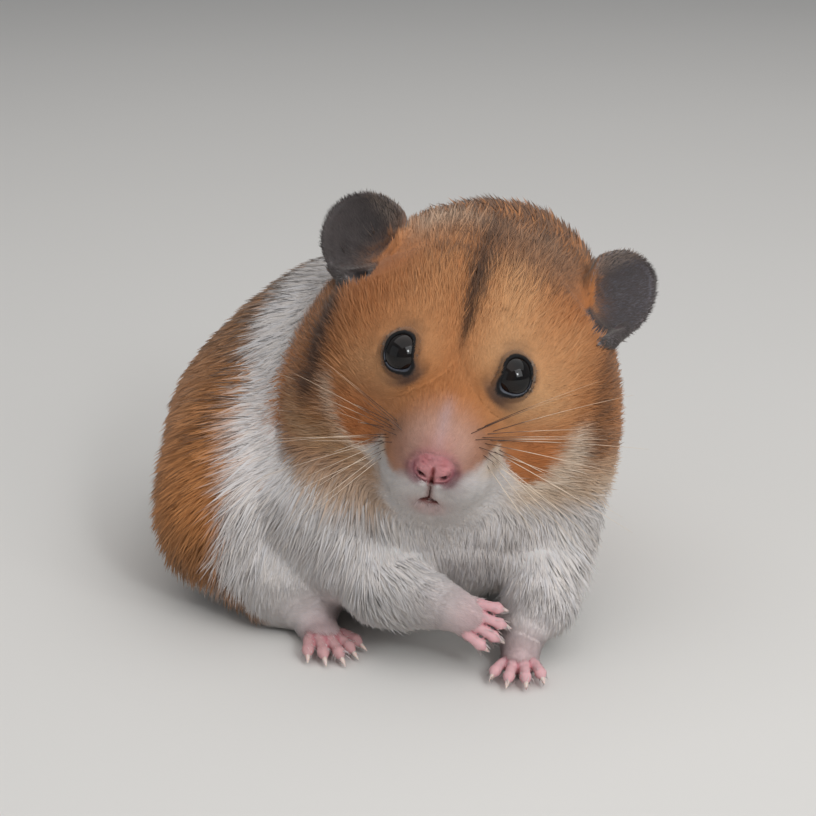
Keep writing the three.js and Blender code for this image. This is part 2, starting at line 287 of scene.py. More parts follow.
def ear_coords(q):
    """Across, up and out of the ear, in shares of its half width and half height, mm out of its middle sheet towards the hollow side, and mm to a share, outwards."""
    a, b, h, scale = (np.empty(len(q), F) for _ in range(4))
    for s, ear in EARS.items():
        i = np.nonzero(q[:, 0] * s >= 0 if s > 0 else q[:, 0] < 0)[0]
        t = (q[i] * np.array([s, 1, 1], F) - ear["mid"]) @ ear["basis"]
        tall = ear["high"] * np.where(t[:, 1] < 0, EAR_ROOT, 1.0)
        up = t[:, 1] / tall
        low = np.maximum(0, -up)
        wide = ear["wide"] * (1 - 0.22 * np.minimum(low, 1.3) ** 2)
        across = t[:, 0] / wide
        e = np.maximum(np.sqrt(across * across + up * up), 0.05)
        a[i], b[i] = across, up
        h[i] = t[:, 2] - ear["cup"] * (across * across + up * up) - 0.8 * across * across * low
        scale[i] = np.minimum(1 / np.maximum(np.sqrt((across / wide) ** 2 + (up / tall) ** 2) / e, 0.05), 10)
    return a, b, h, scale


def ear_foot(q):
    """Places mirrored to the left for the foot of the ear, which sits further out on the animal's left."""
    m = q.copy()
    m[:, 0] = np.abs(m[:, 0]) - 0.9 * (q[:, 0] > 0)
    return m


def ear_ridge(a, b):
    """The low fold inside the ear: off its line, in shares."""
    p0, p1 = np.array([-0.55, -0.30], F), np.array([0.30, 0.30], F)
    d = p1 - p0
    t = np.clip(((a - p0[0]) * d[0] + (b - p0[1]) * d[1]) / (d @ d), 0, 1)
    return np.sqrt((a - p0[0] - t * d[0]) ** 2 + (b - p0[1] - t * d[1] + 0.18 * np.sin(np.pi * t)) ** 2), t


def ear_field(q):
    a, b, h, scale = ear_coords(q)
    e = np.sqrt(a * a + b * b)
    slope = np.sqrt(1 + (0.7 * np.minimum(e, 1.2)) ** 2)
    # low ribs on the hollow side, from the root to the rim, and the fold
    ribs = 0.10 * np.sin(a * 9 + 1.5 * b) * smoothstep(0.2, -0.6, b) + 0.05 * np.sin(e * 14 + 2 * a)
    off, t = ear_ridge(a, b)
    ribs = ribs + 0.55 * bump(off / 0.11) * (1 - 0.6 * t)
    half = EAR_THICK / 2 + 0.1 * e + np.where(h > 0, ribs, 0) * smoothstep(0.95, 0.6, e)
    sheet = (np.abs(h) - half) / slope
    edge = (e - 0.955) * scale
    rim = np.sqrt(edge * edge + (h / slope - 0.12) ** 2) - 0.42
    f = smax(sheet, edge, 0.5)
    return smin(f, rim + 0.25 * smoothstep(-0.2, -0.7, b), 0.5)


# ---- eyes: which way each looks, and the opening between its lids
def eye_axis():
    e = np.array([EYE_AT], F)
    g = [head_field(e + d) - head_field(e - d) for d in (np.eye(3, dtype=F) * 0.3)]
    return unit(np.stack(g, -1)[0])


EYE_AXIS = unit(eye_axis() + np.array([0.10, -0.25, 0.02], F))
EYE_UP = unit(np.array([0, 0, 1], F) - EYE_AXIS * EYE_AXIS[2])
EYE_SIDE = np.cross(EYE_UP, EYE_AXIS)  # towards the back of the head or the nose, by sign below
if EYE_SIDE[1] < 0:
    EYE_SIDE = -EYE_SIDE


def eye_polar(q):
    """For points near the eye, mirrored to the left: distance from its middle, angle off its axis and angle round it, zero towards the ear and rising upwards."""
    d = q.copy()
    d[:, 0] = np.abs(d[:, 0])
    d = d - np.array(EYE_AT, F)
    r = np.sqrt(np.einsum("ij,ij->i", d, d))
    u = d / np.maximum(r, 1e-6)[:, None]
    off = np.arccos(np.clip(u @ EYE_AXIS, -1, 1))
    return r, off, np.arctan2(u @ EYE_UP, u @ EYE_SIDE)


def lid_angle(round_):
    """Half angle of the opening between the lids: tall, narrow in front, drawn out at the inner lower corner."""
    inner = np.angle(np.exp(1j * (round_ - math.radians(214)))).astype(F)
    up, front = np.sin(round_), -np.cos(round_)
    return np.radians(36 - 7 * np.maximum(-front, 0) ** 2 + 22 * np.maximum(up, 0) ** 2 + 17 * np.maximum(-up, 0) ** 2 + 2 * np.maximum(front, 0) ** 2 + 18 * bump(inner / math.radians(32)))


def lids(q, f):
    i = np.nonzero(distance(np.abs(q) * np.array([1, 0, 0], F) + q * np.array([0, 1, 1], F), EYE_AT) < EYE_R + 4.5)[0]
    if not len(i):
        return f
    r, off, rnd = eye_polar(q[i])
    gap = (lid_angle(rnd) - off) * EYE_R  # over zero in the opening
    upper = smoothstep(-0.3, 0.6, np.sin(rnd))
    cover = smax(r - (EYE_R + 0.22 + 0.12 * upper), gap, 0.25)
    cover = smax(cover, (off - np.radians(106)) * EYE_R, 0.8)
    g = smin(f[i], cover, 1.0)
    # the brow and the side of the nose slope down to the lids
    open_ = lid_angle(rnd)
    nose_side = np.maximum(0, -np.cos(rnd))
    g = smax(g, r * np.cos(off) - (EYE_R * np.cos(open_) + 0.42 - 0.42 * nose_side + (0.8 - 0.44 * nose_side) * np.maximum(0, r * np.sin(off) - EYE_R * np.sin(open_))), 0.5)
    # a shallow furrow behind the lid
    g = g + 0.16 * bump((gap + 1.25) / 0.38) * smoothstep(EYE_R + 2.5, EYE_R + 0.6, r)
    g = smax(g, np.minimum(gap, EYE_R + 3.0 - r), 0.25)
    f[i] = smax(g, EYE_R - 0.12 - r, 0.2)
    return f


def mouth_line(x):
    return -6.4 - 0.52 * np.abs(x) ** 1.15


def muzzle(q, f):
    """Nose pad, nostrils, groove and mouth, cut into or raised from the plain muzzle."""
    i = near(q, (0, 4, -3), 12)
    if not len(i):
        return f
    s = q[i]
    g = f[i]
    x, y, z = np.abs(s[:, 0]), s[:, 1], s[:, 2]
    front = smoothstep(8.5, 5.5, y)
    m = s.copy()
    m[:, 0] = x
    pad = ellipsoid(m, (1.1, 1.25, -1.05), (1.3, 1.45, 1.6))
    pad = smin(pad, ellipsoid(m, (1.65, 1.55, -2.15), (0.95, 1.05, 0.9)), 0.6)
    pad = smin(pad, ellipsoid(m, (0.0, 1.7, -2.3), (1.1, 1.2, 1.1)), 0.5)
    g = smin(g, pad, 0.6)
    # nostril: a comma that opens sideways
    nx, nz = x - 1.58, z + 2.35
    along, across = nx * 0.86 + nz * 0.5, -nx * 0.5 + nz * 0.86
    hole = bump(np.sqrt((along / 0.62) ** 2 + (across / 0.26) ** 2))
    tail = bump(np.sqrt(((x - 2.3) / 0.26) ** 2 + ((z + 1.75) / 0.6) ** 2))
    g = g + front * (0.95 * hole + 0.30 * tail)
    # crease round the pad
    e = np.sqrt(((x - 0.6) / 2.2) ** 2 + ((z + 1.3) / 2.1) ** 2)
    g = g + front * 0.20 * bump((e - 1.08) / 0.12) * smoothstep(1.2, -0.6, z)
    g = g + front * 0.05 * noise(s, 0.34, 61) * smoothstep(1.15, 0.8, e)
    # groove from the pad to the mouth
    g = g + front * 0.55 * bump(x / 0.26) * smoothstep(-0.2, -1.6, z) * smoothstep(-6.9, -6.0, z)
    # mouth
    d = z - mouth_line(x)
    g = g + smoothstep(9, 6, y) * 0.50 * bump(d / 0.36) * smoothstep(2.0, 0.7, x)
    g = g + smoothstep(9, 6, y) * 0.55 * bump(np.sqrt((x / 1.15) ** 2 + ((z + 6.95) / 0.55) ** 2))
    # lower lip
    g = g - smoothstep(9, 6, y) * 0.32 * bump(np.sqrt((x / 1.7) ** 2 + ((z + 8.6) / 0.9) ** 2))
    f[i] = g
    return f


def coat_depth(p, q):
    """How far the skin lies under the outline."""
    d = np.minimum(COAT_DEPTH, 0.02 + 0.085 * np.maximum(0, distance(q, (0, 2, -1.5)) - 4.2))
    m = q.copy()
    m[:, 0] = np.abs(m[:, 0])
    d = np.minimum(d, 0.25 + 0.16 * np.maximum(0, distance(m, EYE_AT) - 4.2))
    for c, flat, rise in (((16.6, 3.5, 3.0), 3.5, 0.13), ((7.2, 3.0, 9.8), 3.5, 0.13), ((-13.8, 12.8, 2.2), 6.0, 0.22), ((20.2, 42, 2.2), 6.0, 0.22), ((-39.5, 72, 9.3), 3.0, 0.25)):
        d = np.minimum(d, 0.12 + rise * np.maximum(0, distance(p, c) - flat))
    return d


def skin_field(p):
    """Signed distance, about, from the skin: the outline set inwards by the coat, with the finer forms."""
    q = into_head(p)
    depth = coat_depth(p, q)
    f = smin(body_field(p), head_field(q), HEAD_BLEND) + depth
    i = near(p, TAIL[1][:3], 16)
    if len(i):
        f[i] = smin(f[i], chain(p[i], TAIL, 1.5) + 0.35, 1.5)
    f = paws_field(p, f)
    m = q.copy()
    m[:, 0] = np.abs(m[:, 0])
    i = near(m, EAR_MID, 14)
    if len(i):
        a, b, h, scale = ear_coords(q[i])
        concha = np.sqrt((a - 0.12) ** 2 + (b + 0.12) ** 2) - 0.86
        hollow = smax(concha * scale, np.abs(h - 3.4) - 3.8, 1.2)
        g = smax(f[i], -hollow, 1.0)
        low = ear_foot(q[i])
        g = smax(smin(g, chain(low, EAR_LOBE, 1.0), 0.8), -chain(low, EAR_SCOOP, 1.0), 0.5)
        f[i] = smin(g, ear_field(q[i]), 0.9 + 1.7 * smoothstep(0.6, -0.4, h))
    f = muzzle(q, f)
    f = lids(q, f)
    return smax(f, (0.04 + 0.3 * depth) - p[:, 2], 0.35)


def gradient(p, e=0.12):
    g = np.empty_like(p)
    for k in range(3):
        d = np.zeros(3, F)
        d[k] = e
        g[:, k] = (skin_field(p + d) - skin_field(p - d)) / (2 * e)
    return g


# ---------------------------------------------------------------- the skin as a mesh
def stops(*spans):
    """Grid lines from spans (start, end, step)."""
    out = [np.arange(a, b - s * 0.5, s) for a, b, s in spans]
    return np.concatenate(out + [[spans[-1][1]]]).astype(F)


def polygonise():
    """Surface nets over an uneven grid, finest over the face and paws."""
    coarse = 1.0
    xs = stops((-50, -24, 0.62 * coarse), (-24, 34, 0.36 * coarse), (34, 42, 0.55 * coarse))
    ys = stops((-7, 18, 0.30 * coarse), (18, 49, 0.46 * coarse), (49, 84, 0.8 * coarse))
    zs = stops((-1, 14, 0.34 * coarse), (14, 67, 0.42 * coarse))
    nx, ny, nz = len(xs), len(ys), len(zs)
    B = 4
    bx, by, bz = (-(-n // B) for n in (nx, ny, nz))

    def centres(v, n):
        lo = v[np.minimum(np.arange(n) * B, len(v) - 1)]
        hi = v[np.minimum(np.arange(n) * B + B, len(v) - 1)]
        return (lo + hi) / 2, (hi - lo) / 2

    (cx, hx), (cy, hy), (cz, hz) = centres(xs, bx), centres(ys, by), centres(zs, bz)
    mid = np.stack(np.meshgrid(cx, cy, cz, indexing="ij"), -1).reshape(-1, 3).astype(F)
    f0 = skin_field(mid)
    reach = np.sqrt(hx[:, None, None] ** 2 + hy[None, :, None] ** 2 + hz[None, None, :] ** 2).reshape(-1)
    mark = (np.abs(f0) < reach * 1.35 + 1.1).reshape(bx, by, bz)
    full = np.where(f0 < 0, -5.0, 5.0).astype(F).reshape(bx, by, bz)
    grid = np.repeat(np.repeat(np.repeat(full, B, 0), B, 1), B, 2)[:nx, :ny, :nz].copy()
    mask = np.repeat(np.repeat(np.repeat(mark, B, 0), B, 1), B, 2)[:nx, :ny, :nz]
    i, j, k = np.nonzero(mask)
    for a in range(0, len(i), 400000):
        s = slice(a, a + 400000)
        grid[i[s], j[s], k[s]] = skin_field(np.stack([xs[i[s]], ys[j[s]], zs[k[s]]], -1))
    inside = grid < 0
    # cells whose corners differ
    c = [inside[a : nx - 1 + a, b : ny - 1 + b, d : nz - 1 + d] for a in (0, 1) for b in (0, 1) for d in (0, 1)]
    total = sum(x.astype(np.int8) for x in c)
    ci, cj, ck = np.nonzero((total > 0) & (total < 8))
    number = np.full((nx - 1, ny - 1, nz - 1), -1, np.int32)
    number[ci, cj, ck] = np.arange(len(ci))
    place = np.zeros((len(ci), 3))
    count = np.zeros(len(ci))
    corners = [(a, b, d) for a in (0, 1) for b in (0, 1) for d in (0, 1)]
    for u in corners:
        for axis in range(3):
            if u[axis]:
                continue
            w = list(u)
            w[axis] = 1
            fa = grid[ci + u[0], cj + u[1], ck + u[2]]
            fb = grid[ci + w[0], cj + w[1], ck + w[2]]
            cross = (fa < 0) != (fb < 0)
            t = np.where(cross, fa / np.where(cross, fa - fb, 1), 0)
            pa = np.stack([xs[ci + u[0]], ys[cj + u[1]], zs[ck + u[2]]], -1)
            pb = np.stack([xs[ci + w[0]], ys[cj + w[1]], zs[ck + w[2]]], -1)
            place += np.where(cross[:, None], pa + (pb - pa) * t[:, None], 0)
            count += cross
    place /= count[:, None]
    quads = []
    for axis in range(3):
        lo = [slice(1, -1)] * 3
        hi = [slice(1, -1)] * 3
        lo[axis], hi[axis] = slice(0, -1), slice(1, None)
        a, b = inside[tuple(lo)], inside[tuple(hi)]
        e = np.stack(np.nonzero(a != b), -1)
        flip = a[tuple(e.T)]
        base = e + 1
        base[:, axis] -= 1
        o1, o2 = np.eye(3, dtype=int)[(axis + 1) % 3], np.eye(3, dtype=int)[(axis + 2) % 3]
        q = [number[tuple((base - d).T)] for d in (o1 + o2, o2, 0 * o1, o1)]
        q = np.stack(q, -1)
        q[~flip] = q[~flip][:, ::-1]
        quads.append(q)
    quads = np.concatenate(quads)
    tris = np.concatenate([quads[:, [0, 1, 2]], quads[:, [0, 2, 3]]])
    return place.astype(F), tris


def settle(v, rounds=3, limit=0.35):
    """Moves points onto the skin."""
    for _ in range(rounds):
        f = skin_field(v)
        g = gradient(v)
        step = f / np.maximum(np.einsum("ij,ij->i", g, g), 0.2)
        v = v - np.clip(step, -limit, limit)[:, None] * g
    return v


def split_long(v, tris, wanted, rounds):
    """Splits each edge longer than wanted(middle), neighbours alike, so that the surface stays closed."""
    for _ in range(rounds):
        e = np.sort(np.concatenate([tris[:, [0, 1]], tris[:, [1, 2]], tris[:, [2, 0]]]), 1)
        key = e[:, 0].astype(np.int64) * len(v) + e[:, 1]
        _, first, back = np.unique(key, return_index=True, return_inverse=True)
        ue = e[first]
        mid = (v[ue[:, 0]] + v[ue[:, 1]]) / 2
        long = np.linalg.norm(v[ue[:, 0]] - v[ue[:, 1]], axis=1) > wanted(mid)
        if not long.any():
            break
        ids = np.full(len(ue), -1, np.int64)
        ids[long] = len(v) + np.arange(long.sum())
        v = np.concatenate([v, mid[long]])
        m = ids[back].reshape(3, -1).T
        has = m >= 0
        n = has.sum(1)
        out = [tris[n == 0]]
        for turn in range(3):
            r = [(turn + k) % 3 for k in range(3)]
            t, w, h = tris[:, r], m[:, r], has[:, r]
            one = (n == 1) & h[:, 0]
            a, b = t[one], w[one]
            out += [np.stack([a[:, 0], b[:, 0], a[:, 2]], 1), np.stack([b[:, 0], a[:, 1], a[:, 2]], 1)]
            two = (n == 2) & h[:, 0] & h[:, 1]
            a, b = t[two], w[two]
            out += [np.stack([b[:, 0], a[:, 1], b[:, 1]], 1), np.stack([a[:, 0], b[:, 0], b[:, 1]], 1), np.stack([a[:, 0], b[:, 1], a[:, 2]], 1)]
        a, b = tris[n == 3], m[n == 3]
        out += [np.stack([a[:, 0], b[:, 0], b[:, 2]], 1), np.stack([b[:, 0], a[:, 1], b[:, 1]], 1), np.stack([b[:, 2], b[:, 1], a[:, 2]], 1), b]
        tris = np.concatenate(out)
    return v, tris


def wanted_edge(p):
    q = into_head(p)
    w = np.full(len(p), 9.0, F)
    w = np.minimum(w, 0.19 + 0.10 * np.maximum(0, distance(q, (0, 2.5, -2.5)) - 6.0))
    m = q.copy()
    m[:, 0] = np.abs(m[:, 0])
    w = np.minimum(w, 0.26 + 0.25 * np.maximum(0, distance(m, EYE_AT) - 4.3))
    return w * 1


# ---------------------------------------------------------------- noise
def lattice(i, j, k, seed):
    h = (i.astype(np.uint32) * np.uint32(374761393) + j.astype(np.uint32) * np.uint32(668265263) + k.astype(np.uint32) * np.uint32(2147483647) + np.uint32(seed * 974711 + 12345))
    h = (h ^ (h >> np.uint32(13))) * np.uint32(1274126177)
    h = h ^ (h >> np.uint32(16))
    return (h & np.uint32(0xFFFFFF)).astype(F) / F(0xFFFFFF)


def noise(p, size, seed=1):
    """Smooth noise from -1 to 1 with lumps about size mm across."""
    s = p / F(size) + F(1000)
    i = np.floor(s).astype(np.int64)
    f = (s - i).astype(F)
    f = f * f * (3 - 2 * f)
    out = 0
    for a in (0, 1):
        for b in (0, 1):
            for c in (0, 1):
                w = (f[:, 0] if a else 1 - f[:, 0]) * (f[:, 1] if b else 1 - f[:, 1]) * (f[:, 2] if c else 1 - f[:, 2])
                out = out + w * lattice(i[:, 0] + a, i[:, 1] + b, i[:, 2] + c, seed)
    return out * 2 - 1


# ---------------------------------------------------------------- markings, with painted light and shade in places
def srgb(r, g, b):
    c = np.array([r, g, b]) / 255.0
    return np.where(c <= 0.04045, c / 12.92, ((c + 0.055) / 1.055) ** 2.4).astype(F)


ORANGE, RICH, LIGHT = srgb(181, 119, 72), srgb(178, 104, 54), srgb(208, 161, 116)
WHITE, CREAM, PALE = srgb(217, 211, 208), srgb(220, 194, 166), srgb(196, 156, 140)
GOLD = srgb(188, 146, 104)
BROWN, BACK, DARK, FLASH = srgb(190, 125, 72), srgb(184, 130, 84), srgb(92, 72, 60), srgb(60, 50, 48)
STRIPE, NAPE = srgb(72, 50, 38), srgb(206, 178, 152)
NOSE_PINK, LIP_RED, MAUVE = srgb(186, 126, 128), srgb(132, 76, 70), srgb(140, 92, 98)
PAW_PINK, PAW_RED, FOOT = srgb(216, 170, 173), srgb(180, 100, 110), srgb(196, 152, 152)
EAR_GREY, EAR_INNER, LID = srgb(58, 51, 50), srgb(104, 74, 64), srgb(13, 12, 14)


def mix(a, b, w):
    w = np.asarray(w, F)
    return a + (b - a) * (w[:, None] if w.ndim else w)


BAND = unit([-0.3273, 0.7300, -0.5999])


def belongs(p, q, w=None):
    """How much a place belongs to the head rather than the body."""
    w = noise(p, 2.2, 3) if w is None else w
    return smoothstep(-1.2, 1.2, body_field(p) - head_field(q) + 0.5 * w)


def markings(p, n):
    """Coat colour at places on the skin, with painted shade and a painted highlight in places, how dark the hair tips
    are there, and how much the place belongs to the head.
    """
    q = into_head(p)
    x, y, z = np.abs(q[:, 0]), q[:, 1], q[:, 2]
    w1, w2 = noise(p, 2.2, 3), noise(p, 0.9, 4)
    N = len(p)
    # ----- head
    head = np.tile(ORANGE, (N, 1))
    m = np.stack([x, y, z], 1)
    head = mix(head, LIGHT, np.where(q[:, 0] > 0, 0.75, 0.35) * bump((x - 6.5) / 6.0) * smoothstep(8, 14, z) * smoothstep(29, 23, z))
    head = mix(head, LIGHT, np.where(q[:, 0] > 0, 1.0, 0.6) * np.clip(1.25 * bump(distance(m, (12.0, 12.0, 6.2)) / 5.4), 0, 1))
    head = mix(head, RICH, 0.5 * bump(distance(m, (14.5, 25.5, 19.5)) / 7.5))
    head = mix(head, RICH, 0.7 * bump(distance(m, (13.0, 10.5, 0.5)) / 5.2))
    head = mix(head, BROWN, 0.4 * smoothstep(20, 32, y))
    head = mix(head, LIGHT, 0.35 * (q[:, 0] > 0) * bump((x - 15) / 5) * smoothstep(6, 12, z) * smoothstep(20, 15, z))
    top = smoothstep(24, 36, y) * smoothstep(20, 26, z)
    head = mix(head, NAPE, 0.9 * top * smoothstep(17, 9, x))
    right = q[:, 0] > 0
    tick = (0.62 + 0.25 * w1) * smoothstep(15, 27, y + 0.8 * w1) * smoothstep(15, 22, z) * smoothstep(np.where(right, 20, 15), np.where(right, 10, 5), x + 1.5 * w1)
    # painted shade: darker brown on the crown by the root of the ear on the animal's left
    head = mix(head, srgb(138, 100, 74), 0.7 * right * smoothstep(19, 27, y) * smoothstep(17, 23, z) * smoothstep(19, 13, x))
    # stripe down the middle of the brow
    wide = 0.62 + 0.10 * np.maximum(0, y - 12) + 0.3 * w1 * smoothstep(14, 22, y)
    stripe = bump((q[:, 0] + 0.25 * w1) / wide) * smoothstep(9.5, 12.5, y) * smoothstep(10.5, 13.5, z) * (1 - 0.5 * smoothstep(20, 30, y))
    tick = np.maximum(tick, 0.85 * bump(q[:, 0] / (wide * 1.7)) * smoothstep(12, 17, y) * smoothstep(14, 18, z))
    # paler, pinker bridge towards the nose
    near_nose = smoothstep(10.6, 3.0, distance(q, (0, 0.5, 1.0)))
    head = mix(head, PALE, 0.92 * near_nose)
    # painted highlight: a pale lilac streak down the top of the nose bridge
    ridge_highlight = bump((q[:, 0] + 0.1 * w2) / 1.0) * smoothstep(0.6, 2.4, z) * smoothstep(8.5, 5.5, z) * smoothstep(10, 6, y)
    head = mix(head, srgb(196, 170, 172), 0.45 * ridge_highlight)
    head = mix(head, srgb(188, 132, 124), 0.55 * bump(distance(m, (0.6, 1.0, 1.4)) / 2.3))
    # the lower border of the cheek patch rises at each side of the muzzle
    stops_x = [0, 3, 5, 6.7, 8.2, 9.5, 10.9, 12.3, 14.2, 16.0, 17.3, 18.6, 20]
    stops_l = [-1.8, -2.4, -3.0, -2.6, -0.6, -1.6, -3.6, -4.3, -3.0, -0.6, 2.4, 6.5, 12]
    stops_r = [-1.8, -1.6, -0.8, 0.6, 1.8, -0.4, -3.0, -4.5, -4.2, -1.4, 2.2, 6.5, 12]
    left = q[:, 0] < 0
    border = lambda x: np.where(left, np.interp(x, stops_x, stops_l), np.interp(x, stops_x, stops_r)).astype(F)
    low = border(x)
    slope = (border(x + 0.4) - border(x - 0.4)) / F(0.8)
    past = (low - z) / np.sqrt(1 + slope * slope) + 0.25 * w1 + 0.25 * w2
    fade = smoothstep(6.5, 2.0, z) * smoothstep(26, 20, y)
    soft = 0.5 + 0.7 * smoothstep(8.5, 5, x)
    white = smoothstep(-0.6 * soft, 1.0 * soft, past) * fade
    pale = mix(np.tile(WHITE, (N, 1)), CREAM, np.clip(0.8 * smoothstep(9, 14, x) + 0.75 * bump((x - 8.2) / 1.5) * smoothstep(-3.5, -1.0, z), 0, 1))
    head = mix(head, pale, white * (1 - 0.15 * smoothstep(12, 15, x) * left))
    tick = tick * (1 - white)
    # beyond the pale crescent golden brown again, streaked with pale hairs, with a dark flash in it
    zs = [-13, -8, -5.2, -3.9, -0.8, 2.6, 8, 14]
    rim = np.where(left, np.interp(z, zs, [7.0, 8.2, 10.8, 14.4, 16.9, 18.9, 20.2, 20.5]), np.interp(z, zs, [12.5, 14.0, 16.5, 18.4, 20.2, 19.8, 20.2, 20.5]))
    far = np.maximum(x - rim, np.where(left, 0.85 * (-5.6 - z), -9.0) * smoothstep(5, 9, x)) + 0.8 * w1 + 0.4 * w2
    behind = smoothstep(-0.6, 1.6, far) * smoothstep(4.5, 9, x)
    streaks = smoothstep(-0.35, 0.5, noise(np.stack([q[:, 0] * 2.2, q[:, 1] * 0.6, q[:, 2] * 2.2], 1), 1.6, 9))
    strong = np.interp(z, [-14, -11, -7, -3, 1, 4], [0.15, 0.50, 0.72, 0.86, 0.95, 1.0])
    strong = strong * np.where(left, 1.12 * smoothstep(4, 10, x), 1 - 0.65 * smoothstep(1, -6, z))
    amount = behind * np.clip(strong * (0.78 + 0.34 * streaks), 0, 1)
    ruff = mix(mix(np.tile(BROWN, (N, 1)), GOLD, 0.9 * smoothstep(2, -6, z)), ORANGE, 0.5 * smoothstep(24, 30, y))
    head = mix(head, ruff, amount)
    flash = bump((x - 22.0 + 0.7 * w1) / 1.9) * smoothstep(-3.0, 1.5, z) * smoothstep(16, 12.5, z) * smoothstep(28, 24, y)
    streaky_dark = 0.55 * smoothstep(0.1, 0.6, streaks) * bump((far - 2.4) / 1.6) * smoothstep(-9, -5, z) * smoothstep(4, -1, z)
    dark = np.maximum(np.where(left, 0.92, 0.5) * flash, 0.6 * streaky_dark)
    tick = np.maximum(tick, 0.45 * amount * smoothstep(-6, 2, z))
    # mauve and pink beside the nose and over its top; the dark mauve beside and round the pad is painted shade
    e = np.sqrt(((x - 0.55) / 2.3) ** 2 + ((z + 1.3) / 2.2) ** 2)
    front = smoothstep(6.5, 4.5, y)
    head = mix(head, NOSE_PINK, 0.85 * front * smoothstep(1.65, 1.0, e) * smoothstep(-2.6, -1.0, z))
    # painted shade: dark mauve in the hollows beside the nose pad
    nose_side_shade = bump(distance(m, (2.9, 2.5, -2.9)) / 1.6) + 0.6 * bump(distance(m, (3.3, 2.2, -1.2)) / 1.4)
    head = mix(head, MAUVE, 0.85 * np.clip(nose_side_shade * (0.8 + 0.5 * w2), 0, 1))
    head = mix(head, srgb(150, 100, 78), 0.6 * bump(distance(m, (4.6, 3.2, -0.2)) / 1.7))
    # painted shade: mauve round the lower sides of the pad
    head = mix(head, MAUVE, 0.8 * front * smoothstep(1.75, 1.15, e) * smoothstep(-0.3, -1.3, z) * smoothstep(-4.6, -3.4, z) * smoothstep(0.9, 2.0, x))
    head = mix(head, LIP_RED, 0.9 * bump(x / 0.55) * smoothstep(-2.0, -3.0, z) * smoothstep(-7.2, -6.6, z) * front)
    head = mix(head, srgb(178, 134, 128), 0.75 * bump(distance(m, (0.6, 3.8, -7.6)) / 2.2))
    # whisker pads: a greyish brown smudge
    head = mix(head, srgb(140, 104, 86), 0.5 * bump(distance(m, (6.4, 5.0, 1.6)) / 2.0))
    r_eye, off_eye, rnd_eye = eye_polar(q)
    past_lid = (off_eye - lid_angle(rnd_eye)) * EYE_R
    # dark hair round the eye, with painted shade deepening and widening it at the inner lower corner
    inner_corner_shade = bump(np.angle(np.exp(1j * (rnd_eye - math.radians(230)))) / 0.6)
    ring = smoothstep(2.0 + 0.6 * inner_corner_shade, 0.7, past_lid) * smoothstep(EYE_R + 2.6, EYE_R + 1.6, r_eye)
    head = mix(head, FLASH, (0.55 + 0.3 * inner_corner_shade) * ring)
    head = mix(head, STRIPE, np.clip(0.92 * stripe, 0, 1))
    head = mix(head, FLASH, np.clip(dark, 0, 1))
    # ----- body
    s = p @ BAND - 6.95
    rear_at = np.interp(p[:, 2], [0, 9.5, 16.2, 22.5, 27.4, 32.6, 35.3, 38, 41, 45.6, 48, 50, 64], [10, 9.5, 4.3, 0.9, 0.0, 1.4, 2.7, 3.8, 4.7, 4.8, 5.4, 6.9, 6.5])
    front_at = np.interp(p[:, 2], [23.3, 23.7, 24.6, 25.6, 27.1, 28.3, 30.1, 31.9, 33.8, 37.4, 39.6, 42.2, 46, 60], [-13.9, -11.7, -9.7, -8, -6.5, -5, -4, -3, -2.3, -2.0, -2.7, -4.4, -6, -6])
    rear = smoothstep(-0.6, 0.6, s - rear_at + 0.2 + 0.5 * w1 + 0.3 * w2)
    body = np.tile(BACK, (N, 1))
    body = mix(body, srgb(206, 138, 82), 0.75 * smoothstep(44, 28, p[:, 2]) * smoothstep(10, 20, p[:, 2]))
    # painted shade: darker brown low on the body, towards the floor
    body = mix(body, srgb(152, 104, 66), 0.75 * smoothstep(22, 6, p[:, 2]))
    spine = bump((p @ unit([0.73, 0.66, 0.0]) - 26) / 9) * smoothstep(24, 40, p[:, 2])
    b_tick = 0.12 + 0.5 * spine + 0.5 * bump((s - rear_at - 3) / 3.2) * smoothstep(24, 34, p[:, 2])
    streak = smoothstep(0.15, 0.6, noise(p * np.array([0.35, 0.35, 1.6], F), 2.0, 12)) * bump((s - rear_at - 3.5) / 4) * smoothstep(20, 30, p[:, 2])
    body = mix(body, DARK, np.clip(0.7 * streak + 0.25 * spine, 0, 1))
    body = mix(body, srgb(204, 172, 158), 0.9 * smoothstep(9, 4.5, distance(p, (-41.0, 73.5, 8.5))))
    blush = np.zeros(N, F)  # pink shows through the thin hair over the paws
    for spec in PAWS.values():
        knuckles = np.array(spec["at"], F) + unit(spec["points"]) * F(0.5 * spec["palm"][1])
        blush = np.maximum(blush, 0.65 * bump(distance(p, knuckles) / 5.4))
    belly = smoothstep(0.25, 0.6, -n[:, 2]) * smoothstep(17, 9, p[:, 2])
    rear = rear * (1 - belly)
    # the collar before the band, brown as the ruff it runs into
    collar = smoothstep(-0.7, 0.7, front_at + 0.9 - s + 0.5 * w1 + 0.3 * w2) * smoothstep(22.3, 24.0, p[:, 2]) * (1 - smoothstep(-2, 5, p[:, 0]) * smoothstep(38, 33, p[:, 2]))
    collar = collar * (0.70 + 0.30 * smoothstep(26, 34, p[:, 2]))
    body = mix(np.tile(WHITE, (N, 1)), body, rear)
    body = mix(body, mix(mix(np.tile(BROWN, (N, 1)), GOLD, smoothstep(34, 26, p[:, 2])), ORANGE, 0.25 * smoothstep(28, 38, p[:, 2])), collar)
    b_tick = b_tick * rear
    b_tick = np.maximum(b_tick, collar * (0.25 + 0.6 * smoothstep(44, 52, p[:, 2])))
    # ----- which of the two
    own = belongs(p, q, w1)
    colour = mix(body, head, own)
    colour = mix(colour, srgb(206, 162, 164), blush)
    tick = b_tick * (1 - own) + tick * own
    return colour, np.clip(tick, 0, 1), own


